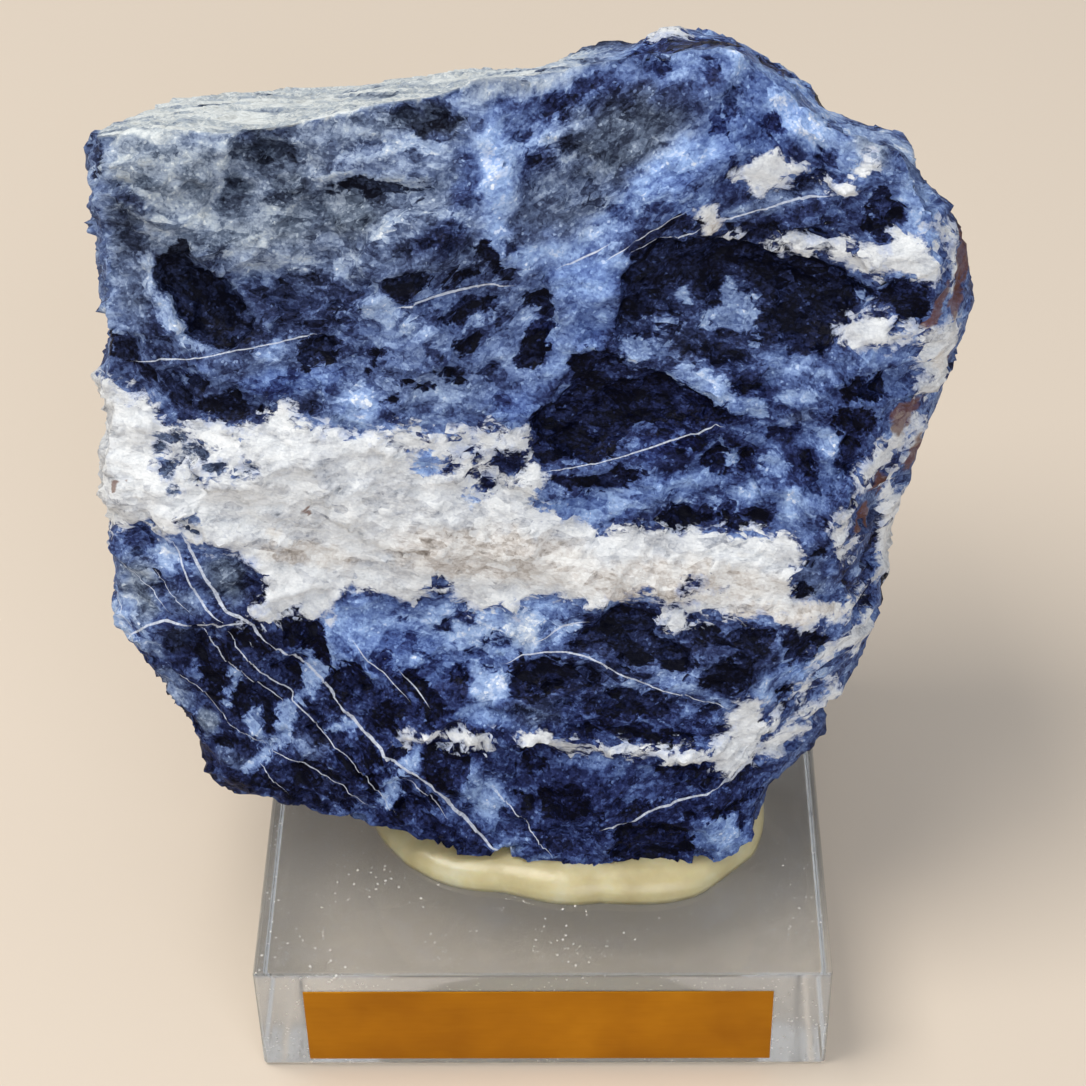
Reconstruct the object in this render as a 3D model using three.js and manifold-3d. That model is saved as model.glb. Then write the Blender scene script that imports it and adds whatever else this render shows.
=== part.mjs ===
// Rough sodalite on a clear display block.
//
// A broken slab of sodalite leans back on a low bead of glue, in the middle of a square acrylic block. A
// blank strip of gold foil is stuck to the front of the block.
//
// Millimetres, +Z up. The origin is the middle of the block's underside, and the front of the stone faces -Y.

import * as THREE from "three";
import { ImprovedNoise } from "three/addons/math/ImprovedNoise.js";
import { mergeVertices } from "three/addons/utils/BufferGeometryUtils.js";
import Module from "manifold-3d";

const wasm = await Module();
wasm.setup();

// ---------------------------------------------------------------- driving dimensions

// The block is a cut and polished square of acrylic sheet.
const BLOCK = { side: 38, height: 9.5, cornerRadius: 0.25, edgeBreak: 0.25 };

// The foil strip lies flat on the block's front face.
const STRIP = { width: 31, height: 7, thickness: 0.125, centreX: -0.3, centreZ: 4.3 };

// The stone is modelled in a frame of its own: x to the right, y up its front face and z out of that face. It
// then leans back, with the foot of its front face at "foot", and is flat where it sits on the glue.
const STONE = {
  leanDegrees: 20,
  foot: [0, -12, 11],
  flatSpotHeight: 10.3,
  backBulge: 3,
  rimRoll: 0.8,
};

// Outlines of the stone at three depths behind its front face. Each is four chains of points that meet at its
// corners: top and bottom run to the right, left and right run down.
const RIMS = [
  {
    depth: 0.5,
    top: [
      [-26.5, 50.2], [-17.4, 50.5], [-12.2, 51.5], [-5.6, 52.6], [1.6, 53.9], [7.6, 55.2], [11.2, 55.2],
      [13.7, 53.6], [18.6, 49.8], [22.2, 48.8],
    ],
    right: [
      [22.2, 48.8], [23.9, 46.0], [24.6, 42.9], [24.1, 37.8], [22.7, 33.5], [20.6, 28.0], [19.8, 24.5],
      [18.6, 20.5], [19.3, 17.5], [16.4, 12.6], [14.2, 9.0], [14.7, 6.0], [14.2, 2.2],
    ],
    bottom: [
      [-23.0, 10.2], [-19.3, 6.0], [-16.7, 5.2], [-11.6, 4.0], [-5.6, 0.9], [-1.8, 0.7], [2.6, 0.5],
      [6.5, -0.6], [9.5, -0.5], [12.9, 0.4], [14.2, 2.2],
    ],
    left: [
      [-26.5, 50.2], [-26.8, 44.0], [-26.7, 38.0], [-26.3, 32.0], [-26.7, 26.0], [-27.5, 22.5],
      [-27.7, 18.6], [-25.2, 14.8], [-23.0, 10.2],
    ],
  },
  {
    depth: 6,
    top: [
      [-27.0, 49.6], [-17.0, 50.0], [-9.6, 51.3], [-2.0, 52.3], [4.5, 52.8], [9.8, 55.3], [12.6, 54.9],
      [15.0, 53.0], [18.4, 49.4], [22.6, 48.2],
    ],
    right: [
      [22.6, 48.2], [26.3, 45.0], [27.2, 42.0], [27.6, 38.0], [26.8, 34.0], [26.2, 30.2], [24.0, 25.0],
      [23.2, 20.5], [23.7, 17.4], [22.1, 14.0], [19.7, 10.8], [18.0, 7.4], [15.4, 5.2], [14.6, 2.4],
    ],
    bottom: [
      [-23.8, 10.0], [-20.0, 6.2], [-15.0, 4.2], [-9.0, 2.4], [-2.0, 1.6], [6.0, 1.3], [12.0, 1.5],
      [14.6, 2.4],
    ],
    left: [
      [-27.0, 49.6], [-28.2, 43.0], [-27.2, 35.6], [-27.4, 30.0], [-28.5, 25.6], [-29.0, 21.0],
      [-29.0, 18.2], [-26.4, 14.5], [-23.8, 10.0],
    ],
  },
  {
    depth: 21,
    top: [
      [-22.5, 48.2], [-16.7, 49.4], [-10.6, 49.7], [-4.6, 49.8], [1.4, 50.3], [6.8, 51.2], [10.1, 52.7],
      [12.8, 52.2], [15.6, 50.2], [19.3, 46.4], [22.6, 44.8],
    ],
    right: [
      [22.6, 44.8], [25.6, 41.0], [25.8, 36.0], [25.0, 30.0], [23.0, 25.0], [21.6, 19.0], [19.0, 13.0],
      [15.0, 8.0],
    ],
    bottom: [
      [-19.0, 12.6], [-14.0, 9.6], [-8.0, 7.2], [-2.0, 6.9], [6.0, 6.9], [12.0, 7.1], [15.0, 8.0],
    ],
    left: [
      [-22.5, 48.2], [-24.4, 41.0], [-24.0, 34.0], [-24.5, 27.0], [-23.5, 21.0], [-21.4, 16.0],
      [-19.0, 12.6],
    ],
  },
];

// Lumps (rise above 0) and hollows (rise below 0) of the front face: middle, half lengths, turn in degrees
// and height.
const FRONT_FORMS = [
  { at: [-2.4, 45.5], half: [2.6, 7.5], turn: 8, rise: 0.8 }, // crest that runs down from the top edge
  { at: [6.5, 44.5], half: [2.4, 11.0], turn: -41, rise: 1.0 }, // crest that crosses it to the upper right
  { at: [5.5, 49.4], half: [7.0, 4.2], turn: 25, rise: 0.5 },
  { at: [14.6, 40.8], half: [9.8, 4.0], turn: -4, rise: -1.2 }, // long dark pan under the crest
  { at: [5.8, 33.0], half: [6.6, 3.8], turn: -8, rise: -0.9 }, // dark wedge below the pan
  { at: [15.0, 29.5], half: [5.0, 3.6], turn: 0, rise: -0.6 },
  { at: [18.5, 35.4], half: [5.0, 2.2], turn: 4, rise: 0.5 },
  { at: [-16.0, 46.0], half: [8.0, 3.6], turn: -10, rise: -0.8 }, // shallow bowl under the upper left rim
  { at: [-20.4, 40.0], half: [2.8, 3.8], turn: 20, rise: -1.3 },
  { at: [-13.4, 37.2], half: [2.2, 2.2], turn: 0, rise: -0.8 },
  { at: [-8.2, 44.4], half: [5.2, 3.0], turn: 15, rise: 0.8 },
  { at: [-7.0, 37.8], half: [6.2, 2.8], turn: 5, rise: 0.6 },
  { at: [-12.0, 26.8], half: [15.0, 5.4], turn: -8, rise: 0.8 }, // white band, left half
  { at: [9.0, 22.4], half: [12.0, 3.4], turn: 0, rise: 0.6 }, // white band, right half
  { at: [-19.5, 21.6], half: [3.0, 2.3], turn: -30, rise: -0.9 },
  { at: [3.2, 13.8], half: [6.4, 3.4], turn: -5, rise: 1.0 }, // dark lens of the lower half
  { at: [13.6, 16.2], half: [5.0, 2.8], turn: 6, rise: 0.7 },
  { at: [-14.5, 14.0], half: [5.0, 3.6], turn: -40, rise: -0.6 },
  { at: [-6.0, 7.2], half: [4.6, 3.0], turn: 0, rise: 0.5 },
  { at: [5.0, 4.6], half: [5.2, 3.0], turn: 0, rise: 0.5 },
  { at: [11.8, 4.4], half: [3.0, 3.2], turn: 0, rise: 0.6 },
];

// Steps of the front face. The side to the left of the way from "from" to "to" stands higher by "drop" at the
// step, and sinks back to the face over "fade". Each step dies out over STEP_END at its two ends.
const STEP_END = 3;
const FRONT_LEDGES = [
  { from: [5.2, 37.4], to: [6.8, 42.6], drop: 0.9, fade: 6 },
  { from: [6.8, 42.6], to: [12.0, 44.6], drop: 0.8, fade: 5 },
  { from: [-9.6, 10.6], to: [13.4, 8.6], drop: 0.9, fade: 4 },
  { from: [-28.0, 17.6], to: [-15.0, 20.4], drop: 0.8, fade: 5 },
  { from: [0.0, 28.2], to: [20.0, 25.0], drop: 0.6, fade: 4 },
  { from: [-23.0, 24.5], to: [-2.0, 2.0], drop: 0.4, fade: 4 },
  { from: [-12.0, 33.4], to: [0.0, 31.0], drop: 0.5, fade: 4 },
  { from: [-25.0, 41.0], to: [-13.0, 46.0], drop: 0.5, fade: 4 },
];

// Scoops and humps of the back face, as the front forms, seen from the front.
const BACK_FORMS = [
  { at: [-10.0, 40.0], half: [12.0, 8.0], turn: 20, rise: -2.4 }, // large shell-shaped scar
  { at: [12.0, 32.0], half: [10.0, 12.0], turn: -15, rise: 1.6 },
  { at: [-8.0, 19.0], half: [11.0, 7.0], turn: -25, rise: 1.4 },
  { at: [14.0, 14.0], half: [7.0, 6.0], turn: 0, rise: -1.6 },
];

const BACK_LEDGES = [
  { from: [-24.0, 29.0], to: [22.0, 24.0], drop: 1.2, fade: 9 },
  { from: [2.0, 50.0], to: [6.0, 28.0], drop: 1.0, fade: 8 },
];

// Shell-shaped scars of two sizes break up the whole surface: shallow scoops that meet in sharp ridges. They
// are fainter on the front face and faintest on the clean cleavage face along the upper left edge. A point
// halfway between the deepest and the highest of a scar lies SCAR_MIDDLE above its deepest point.
const SCARS = [
  { size: 9.5, depth: 3.4, seed: 11 },
  { size: 4.0, depth: 1.3, seed: 29 },
];
const SCAR_MIDDLE = 0.4;
const FRONT_SCARRING = 0.5;
const CLEAVAGE_SCARRING = 0.25;
const CLEAVAGE = { right: -2, bottom: 48, blend: 5 };
const SWELL = { wavelength: 13, height: 0.6 };

// Number of facets across, up and through the stone, and how far their corners stray on the front and back.
// The lumps of a face start at "shoulder", as a share of the way from the middle of the face to its rim.
const FACETS = { across: 36, up: 38, deep: 8, stray: 0.55, shoulder: 5 / 6 };

// Outline of the glue on the block, from the left end along the front and back round behind the stone.
const BEAD = {
  height: 1.9,
  roundness: 1.1,
  gap: 0.3,
  points: 32,
  steps: 2,
  outline: [
    [-12.0, -5.5], [-9.4, -9.6], [-3.0, -12.3], [3.8, -13.2], [10.4, -12.3], [14.7, -8.9], [15.4, -2.0],
    [14.2, 5.5], [9.0, 11.6], [0.5, 12.8], [-7.5, 11.0], [-12.0, 4.0],
  ],
};

// ---------------------------------------------------------------- small helpers

const perlin = new ImprovedNoise();
const clamp01 = (value) => Math.min(1, Math.max(0, value));
const smooth = (value) => clamp01(value) ** 2 * (3 - 2 * clamp01(value));
const cross = (ax, ay, bx, by) => ax * by - ay * bx;

// Repeatable number from 0 to 1 for a whole-numbered cell.
function cellNumber(i, j, k, seed) {
  const parts = [[i, 374761393], [j, 668265263], [k, 1440662683], [seed, 974634777]];
  const mixed = parts.reduce((sum, [value, factor]) => sum + Math.imul(value, factor), 0);
  const stirred = Math.imul(mixed ^ (mixed >>> 13), 1274126177);
  return ((stirred ^ (stirred >>> 16)) >>> 0) / 2 ** 32;
}

// Turns a closed geometry into a manifold-3d solid.
function solidOf(geometry) {
  const bare = geometry.clone();
  bare.deleteAttribute("normal");
  bare.deleteAttribute("uv");
  const merged = mergeVertices(bare, 1e-5);
  const vertProperties = new Float32Array(merged.attributes.position.array);
  const triVerts = new Uint32Array(merged.index.array);
  return new wasm.Manifold(new wasm.Mesh({ numProp: 3, vertProperties, triVerts }));
}

// Turns a manifold-3d solid back into a geometry.
function geometryOf(solid) {
  const mesh = solid.getMesh();
  const geometry = new THREE.BufferGeometry();
  geometry.setAttribute("position", new THREE.BufferAttribute(new Float32Array(mesh.vertProperties), 3));
  geometry.setIndex(new THREE.BufferAttribute(new Uint32Array(mesh.triVerts), 1));
  geometry.computeVertexNormals();
  return geometry;
}

// A box that fills everything below a height, for cutting a solid flat.
function everythingBelow(height) {
  const size = 200;
  const box = new THREE.BoxGeometry(size, size, size);
  box.translate(0, 0, height - size / 2);
  return solidOf(box);
}

function namedMesh(name, geometry, look) {
  const mesh = new THREE.Mesh(geometry, new THREE.MeshStandardMaterial(look));
  mesh.name = name;
  return mesh;
}

// ---------------------------------------------------------------- the stone

// Point on a chain, by its share of the chain's length.
function pointOn(chain, share) {
  const path = new THREE.Path(chain.map((at) => new THREE.Vector2(...at)));
  return path.getPoint(share);
}

// Point inside an outline, by its shares of the way across and up, filled in from the four chains.
function pointInside(rim, across, up) {
  const top = pointOn(rim.top, across);
  const bottom = pointOn(rim.bottom, across);
  const left = pointOn(rim.left, 1 - up);
  const right = pointOn(rim.right, 1 - up);
  const lowCorners = pointOn(rim.bottom, 0).lerp(pointOn(rim.bottom, 1), across);
  const highCorners = pointOn(rim.top, 0).lerp(pointOn(rim.top, 1), across);
  return bottom.lerp(top, up).add(left.lerp(right, across)).sub(lowCorners.lerp(highCorners, up));
}

// Point on the outline at any depth, between the rims in front of and behind that depth.
function pointAround(depth, across, up) {
  const last = RIMS.length - 1;
  const next = Math.max(1, RIMS.findIndex((rim, i) => i === last || rim.depth >= depth));
  const front = RIMS[next - 1];
  const back = RIMS[next];
  const share = clamp01((depth - front.depth) / (back.depth - front.depth));
  return pointInside(front, across, up).lerp(pointInside(back, across, up), share);
}

// Height of one lump or hollow at a point of a face.
function formHeight({ at, half, turn, rise }, x, y) {
  const angle = THREE.MathUtils.degToRad(turn);
  const dx = x - at[0];
  const dy = y - at[1];
  const along = (dx * Math.cos(angle) + dy * Math.sin(angle)) / half[0];
  const across = (dy * Math.cos(angle) - dx * Math.sin(angle)) / half[1];
  return rise * clamp01(1 - along * along - across * across) ** 1.5;
}

// Height of one step at a point of a face.
function ledgeHeight({ from, to, drop, fade }, x, y) {
  const alongX = to[0] - from[0];
  const alongY = to[1] - from[1];
  const length = Math.hypot(alongX, alongY);
  const beside = cross(alongX, alongY, x - from[0], y - from[1]) / length;
  const along = ((x - from[0]) * alongX + (y - from[1]) * alongY) / length;
  const ends = smooth(along / STEP_END) * smooth((length - along) / STEP_END);
  return beside > 0 ? drop * ends * clamp01(1 - beside / fade) : 0;
}

function faceHeight(forms, ledges, x, y) {
  const lumps = forms.reduce((sum, form) => sum + formHeight(form, x, y), 0);
  return ledges.reduce((sum, ledge) => sum + ledgeHeight(ledge, x, y), lumps);
}

// Height of the scoop that a point lies in.
function scarHeight({ size, depth, seed }, point) {
  const cell = point.toArray().map((value) => Math.floor(value / size));
  let lowest = Infinity;
  for (let n = 0; n < 27; n += 1) {
    const i = cell[0] + (n % 3) - 1;
    const j = cell[1] + (Math.floor(n / 3) % 3) - 1;
    const k = cell[2] + Math.floor(n / 9) - 1;
    const roll = [0, 1, 2, 3].map((draw) => cellNumber(i, j, k, seed + draw));
    const centre = new THREE.Vector3(i + roll[0], j + roll[1], k + roll[2]);
    const away = centre.distanceTo(point.clone().divideScalar(size));
    lowest = Math.min(lowest, away * away + roll[3] / 2);
  }
  return depth * (lowest - SCAR_MIDDLE);
}

// How strongly a point of the stone is scarred.
function scarringAt(point) {
  const { right, bottom, blend } = CLEAVAGE;
  const onCleavage = smooth((right - point.x) / blend) * smooth((point.y - bottom) / 2);
  const strength = THREE.MathUtils.lerp(FRONT_SCARRING, 1, smooth((-point.z - 2) / (2 * blend)));
  return THREE.MathUtils.lerp(strength, CLEAVAGE_SCARRING, onCleavage);
}

// Place on the smooth stone of a vertex of a cube that reaches from -1 to 1 on each axis.
function stonePoint(a, b, c, index) {
  const front = RIMS[0];
  const back = RIMS[RIMS.length - 1];
  const depth = THREE.MathUtils.lerp(front.depth, back.depth, (1 - c) / 2);
  const outward = Math.max(Math.abs(a), Math.abs(b));
  if (outward > 1 - 1e-6) {
    const around = pointAround(depth, (a + 1) / 2, (b + 1) / 2);
    const roll = c > 1 - 1e-6 ? STONE.rimRoll : 0;
    return new THREE.Vector3(around.x, around.y, -depth - roll);
  }
  const strayX = FACETS.stray * (cellNumber(index, 0, 0, 1) - 0.5);
  const strayY = FACETS.stray * (cellNumber(index, 0, 0, 2) - 0.5);
  const across = (a + 1) / 2 + strayX / FACETS.across;
  const up = (b + 1) / 2 + strayY / FACETS.up;
  const inside = pointInside(c > 0 ? front : back, across, up);
  const inward = smooth((1 - outward) / (1 - FACETS.shoulder));
  if (c > 0) {
    const height = inward * faceHeight(FRONT_FORMS, FRONT_LEDGES, inside.x, inside.y);
    return new THREE.Vector3(inside.x, inside.y, height - depth - STONE.rimRoll * outward ** 8);
  }
  const height = inward * faceHeight(BACK_FORMS, BACK_LEDGES, inside.x, inside.y);
  return new THREE.Vector3(inside.x, inside.y, -depth - STONE.backBulge * (1 - outward ** 4) - height);
}

function makeStone() {
  const cube = new THREE.BoxGeometry(2, 2, 2, FACETS.across, FACETS.up, FACETS.deep);
  cube.deleteAttribute("normal");
  cube.deleteAttribute("uv");
  const stone = mergeVertices(cube);
  const place = stone.attributes.position;
  for (let i = 0; i < place.count; i += 1) {
    const point = stonePoint(place.getX(i), place.getY(i), place.getZ(i), i);
    place.setXYZ(i, ...point);
  }
  stone.computeVertexNormals();
  const outward = stone.attributes.normal;
  for (let i = 0; i < place.count; i += 1) {
    const point = new THREE.Vector3().fromBufferAttribute(place, i);
    const scars = SCARS.reduce((sum, scar) => sum + scarHeight(scar, point), 0);
    const wave = point.clone().divideScalar(SWELL.wavelength);
    const height = scarringAt(point) * (scars + SWELL.height * perlin.noise(...wave));
    point.addScaledVector(new THREE.Vector3().fromBufferAttribute(outward, i), height);
    place.setXYZ(i, ...point);
  }
  stone.deleteAttribute("normal");
  stone.rotateX(THREE.MathUtils.degToRad(90 - STONE.leanDegrees));
  stone.translate(...STONE.foot);
  return solidOf(stone).subtract(everythingBelow(STONE.flatSpotHeight));
}

// ---------------------------------------------------------------- glue, block and strip

// The bead is a rounded puddle that the stone has sunk into. The stone is cut out of it with a gap all round.
function makeBead(stone) {
  const corners = [...BEAD.outline, BEAD.outline[0]].map((at) => new THREE.Vector2(...at));
  const round = new THREE.SplineCurve(corners).getSpacedPoints(BEAD.points);
  const outline = new THREE.Shape(round.slice(0, -1));
  const puddle = new THREE.ExtrudeGeometry(outline, {
    depth: BEAD.height - BEAD.roundness,
    bevelThickness: BEAD.roundness,
    bevelSize: BEAD.roundness,
    bevelOffset: -BEAD.roundness,
    bevelSegments: BEAD.steps,
  });
  puddle.translate(0, 0, BLOCK.height);
  let bead = solidOf(puddle).subtract(everythingBelow(BLOCK.height));
  const away = [[0, 0, -1], [0, -1, 0], [1, 0, 0], [-1, 0, 0], [0, 1, 0]];
  for (const direction of away) {
    const shift = direction.map((value) => value * BEAD.gap);
    bead = bead.subtract(stone.translate(shift));
  }
  return geometryOf(bead);
}

function makeBlock() {
  const { side, height, cornerRadius, edgeBreak } = BLOCK;
  const half = side / 2 - edgeBreak;
  const outline = new THREE.Shape();
  for (let corner = 0; corner < 4; corner += 1) {
    const angle = corner * Math.PI / 2;
    const reach = (half - cornerRadius) * Math.SQRT2;
    const centreX = reach * Math.cos(angle + Math.PI / 4);
    const centreY = reach * Math.sin(angle + Math.PI / 4);
    outline.absarc(centreX, centreY, cornerRadius, angle, angle + Math.PI / 2);
  }
  const block = new THREE.ExtrudeGeometry(outline, {
    depth: height - 2 * edgeBreak,
    bevelThickness: edgeBreak,
    bevelSize: edgeBreak,
    bevelSegments: 2,
    curveSegments: 4,
  });
  block.translate(0, 0, edgeBreak);
  return block;
}

const stoneSolid = makeStone();
const strip = namedMesh("label", new THREE.BoxGeometry(STRIP.width, STRIP.thickness, STRIP.height), {
  color: "#a8720e",
  roughness: 0.35,
  metalness: 0.6,
});
strip.position.set(STRIP.centreX, -(BLOCK.side + STRIP.thickness) / 2, STRIP.centreZ);

const display = new THREE.Group();
display.add(
  namedMesh("sodalite", geometryOf(stoneSolid), { color: "#2c4170", roughness: 0.6, metalness: 0 }),
  namedMesh("adhesive_bead", makeBead(stoneSolid), { color: "#e8dfae", roughness: 0.2, metalness: 0 }),
  namedMesh("acrylic_block", makeBlock(), { color: "#e9edf0", roughness: 0.05, metalness: 0 }),
  strip,
);

export default display;
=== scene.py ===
"""Rough sodalite on a clear display block.

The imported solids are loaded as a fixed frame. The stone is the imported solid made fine, chipped and coloured
by its minerals. The glue, the acrylic block and the foil strip each take the place of their own solid.
"""

import math

import bmesh
import bpy
import numpy as np
from bpy.props import FloatProperty, FloatVectorProperty, PointerProperty
from mathutils import Matrix, Vector


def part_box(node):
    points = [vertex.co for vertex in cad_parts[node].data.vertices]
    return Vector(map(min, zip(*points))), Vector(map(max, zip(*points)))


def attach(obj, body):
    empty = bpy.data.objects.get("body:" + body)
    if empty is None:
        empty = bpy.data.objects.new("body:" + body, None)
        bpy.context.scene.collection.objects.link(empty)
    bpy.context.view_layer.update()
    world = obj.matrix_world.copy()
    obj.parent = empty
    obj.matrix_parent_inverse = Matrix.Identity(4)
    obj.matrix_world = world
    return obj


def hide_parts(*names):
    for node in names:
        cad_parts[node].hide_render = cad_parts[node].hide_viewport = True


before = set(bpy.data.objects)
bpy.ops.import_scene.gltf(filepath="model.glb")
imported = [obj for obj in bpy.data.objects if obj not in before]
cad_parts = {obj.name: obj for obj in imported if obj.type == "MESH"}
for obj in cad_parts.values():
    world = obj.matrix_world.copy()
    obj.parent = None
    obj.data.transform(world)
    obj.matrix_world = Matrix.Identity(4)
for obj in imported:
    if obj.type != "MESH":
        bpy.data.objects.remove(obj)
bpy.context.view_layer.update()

bl_info = {
    "name": "Rough sodalite display",
    "version": (1, 0, 0),
    "blender": (4, 5, 0),
    "location": "View3D > Sidebar > Sodalite",
    "description": "Builds a rough sodalite specimen on a clear acrylic block",
    "category": "Add Mesh",
}

MM = 0.001

# The stone's own frame: x to the right, y up its front face and z out of it, in mm. It leans back from
# upright, and the foot of its front face stands here on the block.
LEAN_DEGREES = 20
FOOT = (0, -12, 11)


# ---------------------------------------------------------------- the minerals of the front face

# Everything here is in the stone's frame, in mm. Tone runs from 0, black blue, to 1, white blue.
PLAIN_TONE = 0.4
PLAIN_GREY = 0.2

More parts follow.
